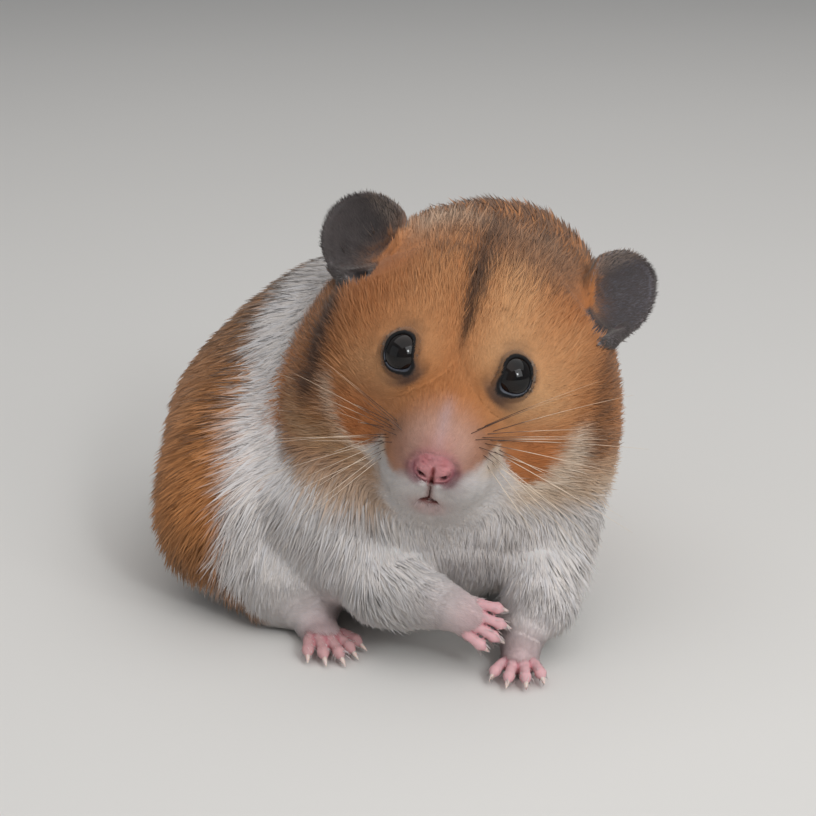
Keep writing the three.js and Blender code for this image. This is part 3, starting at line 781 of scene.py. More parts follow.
def ear_weight(q):
    a, b, h, _ = ear_coords(q)
    e = np.sqrt(a * a + b * b)
    w = smoothstep(1.5, 0.75, np.abs(h)) * smoothstep(1.22, 1.06, e) * smoothstep(-1.0, -0.55, b)
    m = ear_foot(q)
    lobe = smoothstep(1.5, 0.9, np.minimum(chain(m, EAR_LOBE, 1.0) + 0.5, chain(m, EAR_FLOOR, 1.0)))
    return np.maximum(w, lobe), a, np.where(lobe > 0.3, np.maximum(b, -0.35), b), np.where(lobe > 0.3, np.clip(h, -0.2, 0.3), h)


def bare_skin(p, n, colour):
    """The skin's colour, dark under the coat and flesh where it shows, with painted shade beside the nose, in the
    nostrils and between the toes, painted light on the left ear and a painted glint on the lower lids. Also how bare
    each place is, and how moist.
    """
    q = into_head(p)
    m = q.copy()
    m[:, 0] = np.abs(m[:, 0])
    x, y, z = m[:, 0], m[:, 1], m[:, 2]
    w1, w2 = noise(p, 1.4, 21), noise(p, 0.5, 22)
    skin = colour * (0.76 + 0.16 * smoothstep(0.40, 0.62, colour.min(1)))[:, None] + srgb(150, 120, 110) * F(0.05)
    bare = np.zeros(len(p), F)
    wet = np.zeros(len(p), F)
    dry = wet
    # ears
    e, a, b, h = ear_weight(q)
    inner = smoothstep(-0.15, 0.25, h)
    # painted light: the animal's left ear, turned to the key light, gets a lighter, bluer grey than its right
    grey = mix(np.tile(EAR_GREY, (len(p), 1)), srgb(86, 82, 88), 1.0 * (q[:, 0] > 0))
    grey = mix(grey, EAR_INNER, np.clip(0.85 * inner * smoothstep(0.35, -0.75, b + 0.35 * a) + 0.08 * w1, 0, 1))
    rim = smoothstep(0.90, 1.0, np.sqrt(a * a + b * b))
    grey = mix(grey, srgb(150, 142, 141), 0.65 * rim)
    skin = mix(skin, grey * (1 + 0.12 * w1 + 0.06 * w2)[:, None], e)
    bare = np.maximum(bare, e * smoothstep(-0.85, -0.35, b))
    # nose and lips
    e = np.sqrt(((x - 0.55) / 2.3) ** 2 + ((z + 1.3) / 2.2) ** 2)
    front = smoothstep(6.5, 4.5, y)
    pad = smoothstep(1.22, 0.98, e + 0.05 * w2) * front
    freckle = smoothstep(0.35, 0.75, noise(p, 0.42, 23)) * smoothstep(1.1, 0.8, e)
    pad_tone = mix(NOSE_PINK * (1 + 0.10 * w1 + 0.16 * w2)[:, None], srgb(168, 92, 94), 0.55 * bump((x - 1.5) / 0.8) * smoothstep(-0.9, -0.1, z))
    pad_tone = mix(pad_tone, srgb(122, 62, 72), np.clip(0.85 * smoothstep(0.72, 1.05, e) * smoothstep(0.0, -1.4, z) + 0.4 * freckle, 0, 1))
    skin = mix(skin, pad_tone, pad)
    # painted shade: dark mauve skin in the hollows beside the nose pad
    around_nose_shade = bump(distance(m, (2.8, 2.4, -2.8)) / 1.4) + 0.5 * bump(distance(m, (2.9, 2.0, -1.0)) / 0.9)
    skin = mix(skin, MAUVE * F(0.85), 0.9 * np.clip(around_nose_shade, 0, 1))
    skin = mix(skin, srgb(152, 70, 68), 0.85 * bump(x / 0.24) * smoothstep(-0.4, -1.2, z) * smoothstep(-2.9, -2.3, z) * front)
    skin = mix(skin, srgb(124, 64, 60), 0.95 * bump(x / 0.48) * smoothstep(-2.2, -2.8, z) * smoothstep(-7.2, -6.4, z) * front)
    # painted shade: near-black down inside the nostrils
    hole = bump(np.sqrt(((x - 1.62) / 0.55) ** 2 + ((z + 2.32) / 0.30) ** 2)) * front
    skin = mix(skin, srgb(58, 24, 28), 0.95 * np.clip(hole * 1.5 - 0.2, 0, 1))
    d = z - mouth_line(x)
    mouth = (bump(d / 0.60) * smoothstep(1.9, 0.6, x) + 1.2 * bump(np.sqrt((x / 1.35) ** 2 + ((z + 7.0) / 0.75) ** 2))) * smoothstep(9, 6, y)
    skin = mix(skin, LIP_RED * F(0.8), np.clip(mouth, 0, 1))
    bare = np.maximum(bare, np.clip(pad * 1.2 + 0.8 * np.clip(mouth, 0, 1), 0, 1))
    wet = np.maximum(wet, 0.6 * pad + 0.5 * np.clip(mouth, 0, 1))
    # lids
    r, off, rnd = eye_polar(q)
    beyond = (off - lid_angle(rnd)) * EYE_R  # from the opening outwards over the lids
    lid = smoothstep(0.85, 0.40, beyond + 0.12 * w2) * smoothstep(EYE_R + 1.6, EYE_R + 1.0, r)
    skin = mix(skin, LID, lid)
    # painted glint: a blue-grey reflection on the wet margin of the lower lid
    lid_rim_glint = smoothstep(0.12, 0.02, np.abs(beyond - 0.08)) * smoothstep(-0.2, -0.8, np.sin(rnd)) * lid
    skin = mix(skin, srgb(96, 100, 112), 0.5 * lid_rim_glint)
    bare = np.maximum(bare, lid)
    wet = np.maximum(wet * (1 - lid), 0.75 * lid_rim_glint)
    dry = lid * (1 - lid_rim_glint)
    # paws and tail
    for name, spec in PAWS.items():
        i = near(p, spec["at"], 14)
        if not len(i):
            continue
        mm, at = paw_frame(spec)
        s = (p[i] - at) @ mm
        front = smoothstep(spec["palm"][1] * 0.30, -spec["palm"][1] * 0.35, s[:, 1])
        toe = np.stack([chain(p[i], t[:5], 0.3) for t in TOES[name]], 1)
        near_paw = front * smoothstep(0.9, 0.35, toe.min(1))
        o = np.sort(toe, 1)
        # painted shade: redder and darker between the toes and towards the underside of the paw
        between_toes_shade = bump((o[:, 1] - o[:, 0]) / 0.42) * smoothstep(-spec["palm"][1] * 0.1, -spec["palm"][1] * 0.6, s[:, 1])
        tone = FOOT if "hind" in name else PAW_PINK
        c = mix(np.tile(tone, (len(i), 1)), PAW_RED, np.clip(0.85 * between_toes_shade + 0.15 * w1[i] + 0.25 * smoothstep(0.2, -0.8, s[:, 2] / spec["palm"][2]), 0, 1))
        skin[i] = mix(skin[i], c, near_paw)
        bare[i] = np.maximum(bare[i], near_paw)
    t = smoothstep(9.0, 5.0, distance(p, (-41.0, 73.5, 8.5)))
    skin = mix(skin, srgb(206, 166, 158), t)
    bare = np.maximum(bare, 0.6 * t)
    return skin, bare, wet - 0.7 * dry


# ---------------------------------------------------------------- the lie, length and width of the coat
GUIDES = (  # place, reach, way of the hair
    ((10, 44, 55), 16, (-0.45, 0.85, 0.05)),
    ((-6, 55, 46), 16, (-0.62, 0.70, -0.25)),
    ((-30, 62, 30), 16, (-0.70, 0.60, -0.45)),
    ((-22, 36, 40), 12, (-0.72, 0.42, -0.45)),
    ((-34, 34, 26), 12, (-0.45, 0.50, -0.80)),
    ((-30, 22, 16), 11, (-0.30, 0.25, -1.00)),
    ((-20, 14, 10), 9, (0.00, -0.05, -1.00)),
    ((-27, 20, 30), 10, (-0.75, 0.10, -0.65)),
    ((-14, 12, 20), 9, (-0.40, 0.00, -1.00)),
    ((0, 9, 20), 9, (-0.05, -0.05, -1.00)),
    ((14, 9, 20), 9, (0.15, 0.00, -1.00)),
    ((26, 20, 20), 10, (0.30, 0.45, -0.85)),
    ((34, 36, 30), 14, (0.05, 0.85, -0.45)),
    ((26, 56, 40), 14, (-0.25, 0.90, -0.35)),
    ((20, 62, 18), 14, (-0.25, 0.75, -0.70)),
    ((0, 78, 22), 14, (-0.75, 0.35, -0.65)),
    ((-4, 30, 2), 14, (-0.20, 0.90, 0.00)),
    ((19.5, 10, 8), 7, (-0.25, -0.45, -0.90)),
    ((-2, 8, 11), 7, (0.85, -0.35, -0.40)),
)


def lie(p, q, n, own):
    """The way the hair points, along the skin."""
    way = np.zeros_like(p)
    total = np.full(len(p), 1e-6, F)
    for c, reach, d in GUIDES:
        w = bump(distance(p, c) / reach) + 1e-5
        way += w[:, None] * unit(d)
        total += w
    way = unit(way / total[:, None])
    # on the head it runs away from the nose, back over the crown and down over the cheeks
    h = q - np.array([0, -4.5, -1.5], F)
    h = unit(h)
    back = smoothstep(14, 30, q[:, 1])
    h = unit(h + back[:, None] * np.array([0, 0.7, 0.0], F) + (smoothstep(12, 22, np.abs(q[:, 0])) * smoothstep(16, 4, q[:, 2]))[:, None] * np.array([0, 0.15, -0.35], F))
    hd = h @ HEAD_TURN.T
    way = unit(way * (1 - own)[:, None] + hd * own[:, None])
    # round the eyes it turns away from the eye
    for s in (1, -1):
        e = from_head(np.array([mirrored(EYE_AT, s)], F))[0]
        r = p - e
        d = np.sqrt(np.einsum("ij,ij->i", r, r))
        r = r / np.maximum(d, 1e-6)[:, None]
        w = smoothstep(EYE_R + 5.0, EYE_R + 1.2, d)
        inward = np.minimum(np.einsum("ij,ij->i", way, r), 0)
        way = way - (w * inward)[:, None] * r + (0.70 * w)[:, None] * r
    # on the ears towards the rim
    ew, a, b, hh = ear_weight(q)
    if (ew > 0).any():
        out = np.zeros_like(p)
        for s, ear in EARS.items():
            i = q[:, 0] * s > 0
            out[i] = (ear["basis"][:, 1] * (b[i] + 1.4)[:, None] + ear["basis"][:, 0] * a[i][:, None]) * np.array([s, 1, 1], F)
        way = unit(way * (1 - ew)[:, None] + unit(out) @ HEAD_TURN.T * ew[:, None])
    # on the paws towards the toes
    for spec in PAWS.values():
        w = smoothstep(9, 5, distance(p, spec["at"]))
        way = way * (1 - w)[:, None] + unit(spec["points"]) * w[:, None]
    # swirls
    swirl = np.stack([noise(p, 5.0, 31), noise(p, 5.0, 32), noise(p, 5.0, 33)], 1) * F(0.15)
    swirl += np.stack([noise(p, 1.8, 34), noise(p, 1.8, 35), noise(p, 1.8, 36)], 1) * F(0.09)
    way = unit(way) + swirl * (1 - 0.4 * own)[:, None]
    way = way - np.einsum("ij,ij->i", way, n)[:, None] * n
    return unit(way)


def hair_size(p, q, n, own, bare):
    """Length, width and lift (radians) of the tufts."""
    m = q.copy()
    m[:, 0] = np.abs(m[:, 0])
    nose_d = distance(q, (0, 2, -1.5))
    long = np.full(len(p), 7.4, F)
    head_long = 0.75 + 0.175 * np.maximum(0, nose_d - 4.0)
    head_long = np.minimum(head_long, 5.6)
    # the ruff of the cheeks
    head_long = head_long + 2.4 * bump(distance(m, (19, 16, -6)) / 6.5)
    long = long * (1 - own) + np.minimum(long, head_long) * own
    eye_d = distance(m, EYE_AT)
    long = long * (0.25 + 0.75 * smoothstep(EYE_R + 0.9, EYE_R + 6.5, eye_d))
    for c, flat, rise in (((16.6, 2.6, 2.5), 4.0, 0.42), ((8.0, 2.5, 9.6), 4.0, 0.42), ((-13.6, 12.3, 2.0), 7.0, 0.6), ((20.5, 41, 2.0), 7.0, 0.6), ((-41.0, 73.5, 8.5), 3.0, 0.5)):
        long = np.minimum(long, 1.0 + rise * np.maximum(0, distance(p, c) - flat))
    ew, a, b, h = ear_weight(q)
    ear_long = 1.05 + 0.9 * smoothstep(-0.5, -1.0, b)
    for s, at in ((1, (17.0, 27.8, 20.5)), (-1, (14.6, 24.6, 20.6))):
        d = distance(q * np.array([s, 1, 1], F), at)
        long = np.where(q[:, 0] * s > 0, np.minimum(long, 1.7 + 0.75 * np.maximum(0, d - 4.0)), long)
    long = long * (1 - ew) + np.minimum(long, ear_long) * ew
    width = 0.050 + 0.0082 * long
    width = np.where(ew > 0.5, 0.055 + 0.008 * long, width)
    lift = np.radians(13.0 - 3.0 * smoothstep(2.5, 6, long)).astype(F)
    lift = lift + np.radians(12) * smoothstep(26, 36, q[:, 1]) * smoothstep(14, 24, q[:, 2]) * own
    lift = lift * (1 - 0.55 * ew)
    return long, width, lift, ew, b


def random(n, seed):
    return np.random.default_rng(seed).random(n, dtype=np.float32)


def scatter(v, t, vn, weight, count, seed):
    """Evenly spread places over the triangles, weight per square mm at each corner."""
    a, b, c = v[t[:, 0]], v[t[:, 1]], v[t[:, 2]]
    area = np.linalg.norm(np.cross(b - a, c - a), axis=1) / 2
    w = area * weight[t].mean(1)
    cum = np.cumsum(w.astype(np.float64))
    rng = np.random.default_rng(seed)
    u = (np.arange(count) + rng.random(count)) / count * cum[-1]
    i = np.minimum(np.searchsorted(cum, u), len(t) - 1)
    r1, r2 = rng.random(count), rng.random(count)
    s = np.sqrt(r1)
    bary = np.stack([1 - s, s * (1 - r2), s * r2], 1).astype(F)
    place = (v[t[i]] * bary[:, :, None]).sum(1)
    normal = unit((vn[t[i]] * bary[:, :, None]).sum(1))
    return place.astype(F), normal, i, bary


def clumps(p, size, seed):
    """The nearest of a jittered lattice's points to each place: its offset from the place, and a number of its own."""
    s = p / F(size) + F(500)
    i = np.floor(s).astype(np.int64)
    best = np.full(len(p), 1e9, F)
    off = np.zeros_like(p)
    tag = np.zeros(len(p), F)
    for a in (-1, 0, 1):
        for b in (-1, 0, 1):
            for c in (-1, 0, 1):
                j = i + np.array([a, b, c])
                jit = np.stack([lattice(j[:, 0], j[:, 1], j[:, 2], seed + k) for k in range(3)], 1)
                d = (j + jit - s).astype(F)
                r = np.einsum("ij,ij->i", d, d)
                m = r < best
                best[m] = r[m]
                off[m] = d[m] * F(size)
                tag[m] = jit[m, 0]
    return off, tag


# ---------------------------------------------------------------- Blender helpers
def new_mesh(name, verts_row, faces, smooth=True, normals=None, colours=None, uv=None, extra=None):
    """faces is an (n, 3) or (n, 4) array. colours is {name: (n, 3) per point}, normals per point in the row frame."""
    me = bpy.data.meshes.new(name)
    n, k = faces.shape
    me.vertices.add(len(verts_row))
    me.vertices.foreach_set("co", np.ascontiguousarray(verts_row, np.float32).ravel())
    me.loops.add(n * k)
    me.loops.foreach_set("vertex_index", faces.astype(np.int32).ravel())
    me.polygons.add(n)
    me.polygons.foreach_set("loop_start", np.arange(0, n * k, k, dtype=np.int32))
    me.update(calc_edges=True)
    if smooth:
        me.polygons.foreach_set("use_smooth", np.ones(n, bool))
    for cname, c in (colours or {}).items():
        at = me.attributes.new(cname, "FLOAT_COLOR", "POINT")
        full = np.ones((len(verts_row), 4), np.float32)
        full[:, :3] = c
        at.data.foreach_set("color", full.ravel())
    for ename, e in (extra or {}).items():
        at = me.attributes.new(ename, "FLOAT", "POINT")
        at.data.foreach_set("value", np.ascontiguousarray(e, np.float32))
    if uv is not None:
        layer = me.uv_layers.new(name="OFBake")
        layer.data.foreach_set("uv", np.ascontiguousarray(uv[faces.ravel()], np.float32).ravel())
    if normals is not None:
        me.normals_split_custom_set_from_vertices(np.ascontiguousarray(normals, np.float32))
    me.validate(clean_customdata=False)
    ob = bpy.data.objects.new(name, me)
    bpy.context.scene.collection.objects.link(ob)
    return ob


def row_normals(n):
    return (np.asarray(n, np.float64) @ ROW_TURN.T).astype(np.float32)


def material(name):
    m = bpy.data.materials.new(name)
    m.use_nodes = True
    nt = m.node_tree
    nt.nodes.clear()
    out = nt.nodes.new("ShaderNodeOutputMaterial")
    bsdf = nt.nodes.new("ShaderNodeBsdfPrincipled")
    nt.links.new(bsdf.outputs[0], out.inputs["Surface"])
    return m, nt, bsdf


def node(nt, kind, **sets):
    n = nt.nodes.new(kind)
    for k, v in sets.items():
        if hasattr(n, k):
            setattr(n, k, v)
        else:
            n.inputs[k].default_value = v
    return n


def math_node(nt, op, a, b=None, c=None, clamp=False):
    n = nt.nodes.new("ShaderNodeMath")
    n.operation, n.use_clamp = op, clamp
    for i, v in enumerate((a, b, c)):
        if v is None:
            continue
        if isinstance(v, (int, float)):
            n.inputs[i].default_value = v
        else:
            nt.links.new(v, n.inputs[i])
    return n.outputs[0]


def noise_node(nt, scale, detail=3.0, rough=0.55):
    co = nt.nodes.new("ShaderNodeTexCoord")
    n = nt.nodes.new("ShaderNodeTexNoise")
    n.inputs["Scale"].default_value = scale
    n.inputs["Detail"].default_value = detail
    n.inputs["Roughness"].default_value = rough
    nt.links.new(co.outputs["Object"], n.inputs["Vector"])
    return n


def tinted(nt, attribute, noise_out, low, high):
    """The attribute's colour times a tone from noise."""
    a = nt.nodes.new("ShaderNodeAttribute")
    a.attribute_name = attribute
    tone = nt.nodes.new("ShaderNodeMapRange")
    tone.inputs["To Min"].default_value, tone.inputs["To Max"].default_value = low, high
    nt.links.new(noise_out, tone.inputs["Value"])
    mul = nt.nodes.new("ShaderNodeVectorMath")
    mul.operation = "SCALE"
    nt.links.new(a.outputs["Color"], mul.inputs[0])
    nt.links.new(tone.outputs[0], mul.inputs["Scale"])
    return mul.outputs["Vector"], a


def coat_material():
    m, nt, b = material("coat_hair")
    n = noise_node(nt, 420.0, 2.0)
    colour, _ = tinted(nt, "coat", n.outputs["Fac"], 0.90, 1.10)
    nt.links.new(colour, b.inputs["Base Color"])
    rough = nt.nodes.new("ShaderNodeMapRange")
    rough.inputs["To Min"].default_value, rough.inputs["To Max"].default_value = 0.62, 0.80
    nt.links.new(n.outputs["Fac"], rough.inputs["Value"])
    nt.links.new(rough.outputs[0], b.inputs["Roughness"])
    b.inputs["Specular IOR Level"].default_value = 0.18
    b.inputs["Sheen Weight"].default_value = 0.25
    b.inputs["Sheen Roughness"].default_value = 0.45
    b.inputs["Sheen Tint"].default_value = (1.0, 0.93, 0.86, 1)
    return m


def skin_material():
    m, nt, b = material("skin")
    n = noise_node(nt, 900.0, 4.0)
    colour, _ = tinted(nt, "skin", n.outputs["Fac"], 0.88, 1.12)
    nt.links.new(colour, b.inputs["Base Color"])
    wet = nt.nodes.new("ShaderNodeAttribute")
    wet.attribute_name = "moist"
    rough = math_node(nt, "MULTIPLY_ADD", wet.outputs["Fac"], -0.34, 0.62)
    rough = math_node(nt, "ADD", rough, math_node(nt, "MULTIPLY", n.outputs["Fac"], 0.12))
    nt.links.new(rough, b.inputs["Roughness"])
    fine = noise_node(nt, 2600.0, 3.0, 0.6)
    vor = nt.nodes.new("ShaderNodeTexVoronoi")
    vor.feature = "DISTANCE_TO_EDGE"
    vor.inputs["Scale"].default_value = 2300.0
    co = nt.nodes.new("ShaderNodeTexCoord")
    nt.links.new(co.outputs["Object"], vor.inputs["Vector"])
    height = math_node(nt, "ADD", math_node(nt, "MULTIPLY", fine.outputs["Fac"], 0.5), math_node(nt, "MINIMUM", vor.outputs["Distance"], 0.25))
    bump_n = nt.nodes.new("ShaderNodeBump")
    bump_n.inputs["Strength"].default_value = 0.5
    bump_n.inputs["Distance"].default_value = 0.00012
    nt.links.new(height, bump_n.inputs["Height"])
    nt.links.new(bump_n.outputs[0], b.inputs["Normal"])
    b.inputs["Subsurface Weight"].default_value = 0.18
    b.inputs["Subsurface Radius"].default_value = (1.0, 0.45, 0.35)
    b.inputs["Subsurface Scale"].default_value = 0.0012
    b.inputs["Specular IOR Level"].default_value = 0.42
    return m


def eye_material():
    m, nt, b = material("eye_gloss")
    n = noise_node(nt, 500.0, 3.0)
    ramp = nt.nodes.new("ShaderNodeValToRGB")
    ramp.color_ramp.elements[0].position, ramp.color_ramp.elements[1].position = 0.35, 0.8
    ramp.color_ramp.elements[0].color = (0.0035, 0.0032, 0.0035, 1)
    ramp.color_ramp.elements[1].color = (0.014, 0.008, 0.006, 1)
    nt.links.new(n.outputs["Fac"], ramp.inputs["Fac"])
    nt.links.new(ramp.outputs["Color"], b.inputs["Base Color"])
    rough = nt.nodes.new("ShaderNodeMapRange")
    rough.inputs["To Min"].default_value, rough.inputs["To Max"].default_value = 0.045, 0.085
    nt.links.new(n.outputs["Fac"], rough.inputs["Value"])
    nt.links.new(rough.outputs[0], b.inputs["Roughness"])
    b.inputs["IOR"].default_value = 1.38
    b.inputs["Specular IOR Level"].default_value = 0.5
    return m


def claw_material():
    m, nt, b = material("claw_horn")
    n = noise_node(nt, 1500.0, 3.0)
    ramp = nt.nodes.new("ShaderNodeValToRGB")
    ramp.color_ramp.elements[0].color = (0.62, 0.45, 0.40, 1)
    ramp.color_ramp.elements[1].color = (0.80, 0.68, 0.62, 1)
    nt.links.new(n.outputs["Fac"], ramp.inputs["Fac"])
    nt.links.new(ramp.outputs["Color"], b.inputs["Base Color"])
    rough = nt.nodes.new("ShaderNodeMapRange")
    rough.inputs["To Min"].default_value, rough.inputs["To Max"].default_value = 0.25, 0.45
    nt.links.new(n.outputs["Fac"], rough.inputs["Value"])
    nt.links.new(rough.outputs[0], b.inputs["Roughness"])
    b.inputs["Subsurface Weight"].default_value = 0.2
    b.inputs["Subsurface Scale"].default_value = 0.0008
    return m


def whisker_material():
    m, nt, b = material("whisker")
    n = noise_node(nt, 600.0, 2.0)
    colour, _ = tinted(nt, "coat", n.outputs["Fac"], 0.9, 1.1)
    nt.links.new(colour, b.inputs["Base Color"])
    b.inputs["Roughness"].default_value = 0.38
    b.inputs["Specular IOR Level"].default_value = 0.5
    return m


# ---------------------------------------------------------------- build: skin
verts, tris = polygonise()
verts = settle(verts, 3)
verts, tris = split_long(verts, tris, wanted_edge, 2)
verts = settle(verts, 2, 0.2)
vn = unit(gradient(verts, 0.1))
colour, _, _ = markings(verts + vn * (0.85 * coat_depth(verts, into_head(verts)))[:, None], vn)
own = belongs(verts, into_head(verts))
skin_colour, bare, wet = bare_skin(verts, vn, colour)
print("skin", len(verts), "points", len(tris), "triangles")

skin_mat = skin_material()
skin = new_mesh("skin", to_row(verts), tris, colours={"skin": skin_colour}, extra={"moist": wet})
skin.data.materials.append(skin_mat)
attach(skin, "root")
FLESH = [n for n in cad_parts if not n.startswith("eye_")]
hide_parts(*FLESH)

# ---------------------------------------------------------------- build: coat
q_all = into_head(verts)
long, width, lift, ear_w, ear_b = hair_size(verts, q_all, vn, own, bare)
cover = 1 - 0.985 * smoothstep(0.25, 0.9, bare)
cover = np.where(ear_w > 0.3, np.maximum(cover, 0.30 + 0.7 * smoothstep(-0.2, -0.8, ear_b)), cover)
r_eye, off_eye, rnd_eye = eye_polar(q_all)
cover = cover * smoothstep(0.30, 0.75, (off_eye - lid_angle(rnd_eye)) * EYE_R + 9.0 * (r_eye > EYE_R + 2.2))  # none on the lids' margins
mouth_in = smoothstep(0.75, 0.2, np.abs(q_all[:, 2] - mouth_line(q_all[:, 0]))) * smoothstep(1.9, 1.0, np.abs(q_all[:, 0])) * smoothstep(9, 6, q_all[:, 1])
e_pad = np.sqrt(((np.abs(q_all[:, 0]) - 0.55) / 2.3) ** 2 + ((q_all[:, 2] + 1.3) / 2.2) ** 2)
pad_in = smoothstep(1.10, 0.66, e_pad + 0.34 * smoothstep(-1.6, 0.6, q_all[:, 2])) * smoothstep(6.5, 4.5, q_all[:, 1])
philtrum = bump(q_all[:, 0] / 0.38) * smoothstep(-2.0, -2.8, q_all[:, 2]) * smoothstep(-7.2, -6.4, q_all[:, 2]) * smoothstep(6.5, 4.5, q_all[:, 1])
cover = cover * (1 - mouth_in) * (1 - pad_in) * (1 - 0.95 * philtrum)
under = smoothstep(0.7, 0.95, -vn[:, 2]) * smoothstep(3.0, 1.2, verts[:, 2])
cover = cover * (1 - 0.75 * under)
density = cover / (0.5 * width * long)
density = density * (1 + 0.35 * own * smoothstep(30, 14, distance(q_all, (0, 2, -1.5))))
root, nrm, _, _ = scatter(verts, tris, vn, density, TUFTS, 7)
print("tufts", len(root), "layers", TUFTS / (np.linalg.norm(np.cross(verts[tris[:, 1]] - verts[tris[:, 0]], verts[tris[:, 2]] - verts[tris[:, 0]]), axis=1) / 2 * density[tris].mean(1)).sum())


def tufts(root, nrm, seed):
    """Closed, slim, bent tufts: a root, two sides and a tip each. Returns points, normals, colours and faces."""
    n = len(root)
    q = into_head(root)
    own = belongs(root, q)
    long, width, lift, ear_w, ear_b = hair_size(root, q, nrm, own, None)
    way = lie(root, q, nrm, own)
    r = [random(n, seed + k) for k in range(9)]
    # each end takes the marking that lies there, give or take, so that borders are ragged
    over = root + nrm * (0.85 * coat_depth(root, q))[:, None] + way * ((random(n, seed + 9) - 0.6) * 0.30 * long)[:, None]
    colour0, _, _ = markings(over, nrm)
    colour, tick, _ = markings(over + way * (0.62 * long)[:, None], nrm)
    colour_mid, _, _ = markings(over + way * (0.26 * long)[:, None], nrm)
    # locks: neighbours lean together, more on the long coat
    off, tag = clumps(root, 0.95, 41)
    off -= np.einsum("ij,ij->i", off, nrm)[:, None] * nrm
    off2, tag2 = clumps(root, 2.6, 51)
    off2 -= np.einsum("ij,ij->i", off2, nrm)[:, None] * nrm
    soft = smoothstep(1.5, 6, long)
    side = np.cross(nrm, way)
    spread = (r[0] - 0.5) * F(0.40)
    spread2 = (r[1] - 0.5) * F(0.34)
    long = long * (0.72 + 0.46 * r[2]) * (1 + 0.12 * (tag - 0.5) * soft)
    stray = (r[3] > 0.985) & (long > 2.0)
    long = np.where(stray, long * 1.04, long)
    lift = lift * (0.72 + 0.5 * r[4]) + np.where(stray, 0.05, 0) * r[0] + 0.04 * (tag2 - 0.5) * soft
    d1 = unit(way * np.cos(lift * 1.35)[:, None] + nrm * np.sin(lift * 1.35)[:, None] + side * spread[:, None])
    d2 = unit(way * np.cos(lift * 0.5)[:, None] + nrm * np.sin(lift * 0.5)[:, None] + side * (spread * 1.2 + spread2)[:, None])
    ring_at = 0.38
    root_in = root - nrm * np.minimum(0.22, 0.10 * long)[:, None]
    mid = root + d1 * (long * ring_at)[:, None] + off * (0.03 * soft)[:, None]
    tip = mid + d2 * (long * (1 - ring_at))[:, None] + off * (0.07 * soft)[:, None] + off2 * (0.02 * soft)[:, None]
    tip[:, 2] = np.maximum(tip[:, 2], 0.03)
    mid[:, 2] = np.maximum(mid[:, 2], 0.12)
    root_in[:, 2] = np.maximum(root_in[:, 2], 0.05)
    axis = unit(tip - root_in)
    s = unit(np.cross(nrm, axis))
    half = (width * (0.8 + 0.45 * r[5]) / 2)[:, None]
    left, right = mid + s * half, mid - s * half
    pts = np.stack([root_in, left, right, tip], 1)
    pts[..., 2] = np.maximum(pts[..., 2], 0.02)
    nr = np.stack([nrm, unit(nrm + 0.30 * s), unit(nrm - 0.30 * s), unit(nrm * 0.9 + 0.30 * axis)], 1)
    # colours: grey-brown at the root, the marking's own colour, and dark tips where the coat is ticked
    tone = (0.93 + 0.16 * r[6]) * (1 + 0.05 * (tag - 0.5) + 0.05 * (tag2 - 0.5))
    warm = (r[7] - 0.5)[:, None] * np.array([0.06, 0.0, -0.08], F)
    body = colour * tone[:, None] * (1 + warm)
    body0 = colour_mid * tone[:, None] * (1 + warm)
    grey = colour0.mean(1, keepdims=True) * np.array([0.80, 0.72, 0.70], F)
    base = colour0 * 0.74 + grey * 0.14
    pale = smoothstep(0.40, 0.65, colour0.min(1))
    base = mix(base, colour0 * 0.97, pale)
    dark_tip = (r[8] < tick * 0.85) * (0.55 + 0.45 * tick)
    tipc = mix(body * 1.04, DARK * 0.8, np.clip(dark_tip, 0, 0.92))
    midc = mix(body0 * 0.95, DARK, np.clip(dark_tip * 0.25, 0, 1))
    # ear hairs: pale and fine, orange at the root of the ear
    ear_a, ear_up, ear_h, _ = ear_coords(q)
    ear_hair = mix(np.tile(srgb(82, 75, 74), (n, 1)), srgb(168, 148, 134), 0.7 * smoothstep(-0.35, -0.85, ear_a) * (r[6] > 0.35))
    ear_hair = mix(ear_hair, srgb(146, 102, 74), 0.85 * smoothstep(0.25, -0.5, ear_up) * smoothstep(0.65, 0.05, ear_a) * (ear_h > 0) * (r[4] > 0.25))
    ear_hair = mix(ear_hair, colour, smoothstep(-0.45, -0.9, ear_b)) * tone[:, None]
    base = mix(base, ear_hair * 0.6, ear_w)
    midc = mix(midc, ear_hair * 0.85, ear_w)
    tipc = mix(tipc, ear_hair, ear_w)
    cols = np.stack([base, midc, midc, tipc], 1)
    first = np.arange(n, dtype=np.int32)[:, None] * 4
    shape = np.array([[0, 1, 2], [1, 3, 2], [0, 3, 1], [0, 2, 3]], np.int32)
    # order each face outwards: checked on the first tuft below
    a, b, c = pts[0, shape[0, 0]], pts[0, shape[0, 1]], pts[0, shape[0, 2]]
    centre = pts[0].mean(0)
    if np.dot(np.cross(b - a, c - a), (a + b + c) / 3 - centre) < 0:
        shape = shape[:, ::-1]
    faces = (first[:, :, None] + shape[None]).reshape(-1, 3)
    return pts.reshape(-1, 3), nr.reshape(-1, 3), np.clip(cols, 0.002, 1).reshape(-1, 3), faces


def unwrap(root, nrm):
    """Six charts of the skin by the way it faces, side by side in the unit square: one place per tuft."""
    k = np.abs(nrm).argmax(1)
    sign = nrm[np.arange(len(nrm)), k] > 0
    chart = k * 2 + sign
    out = np.zeros((len(root), 2), np.float64)
    for c in range(6):
        m = chart == c
        if not m.any():
            continue
        axes = [a for a in range(3) if a != c // 2]
        uv = root[m][:, axes].astype(np.float64)
        lo = root[:, axes].min(0)
        size = (root[:, axes].max(0) - lo).max() + 1e-6
        uv = (uv - lo) / size
        out[m] = (np.array([c % 3, c // 3]) + 0.02 + uv * 0.96) * np.array([1 / 3, 1 / 2])
    return out


CORNERS = np.array([(0, -0.0015), (-0.0015, 0), (0.0015, 0), (0, 0.0015)])
coat_mat = coat_material()


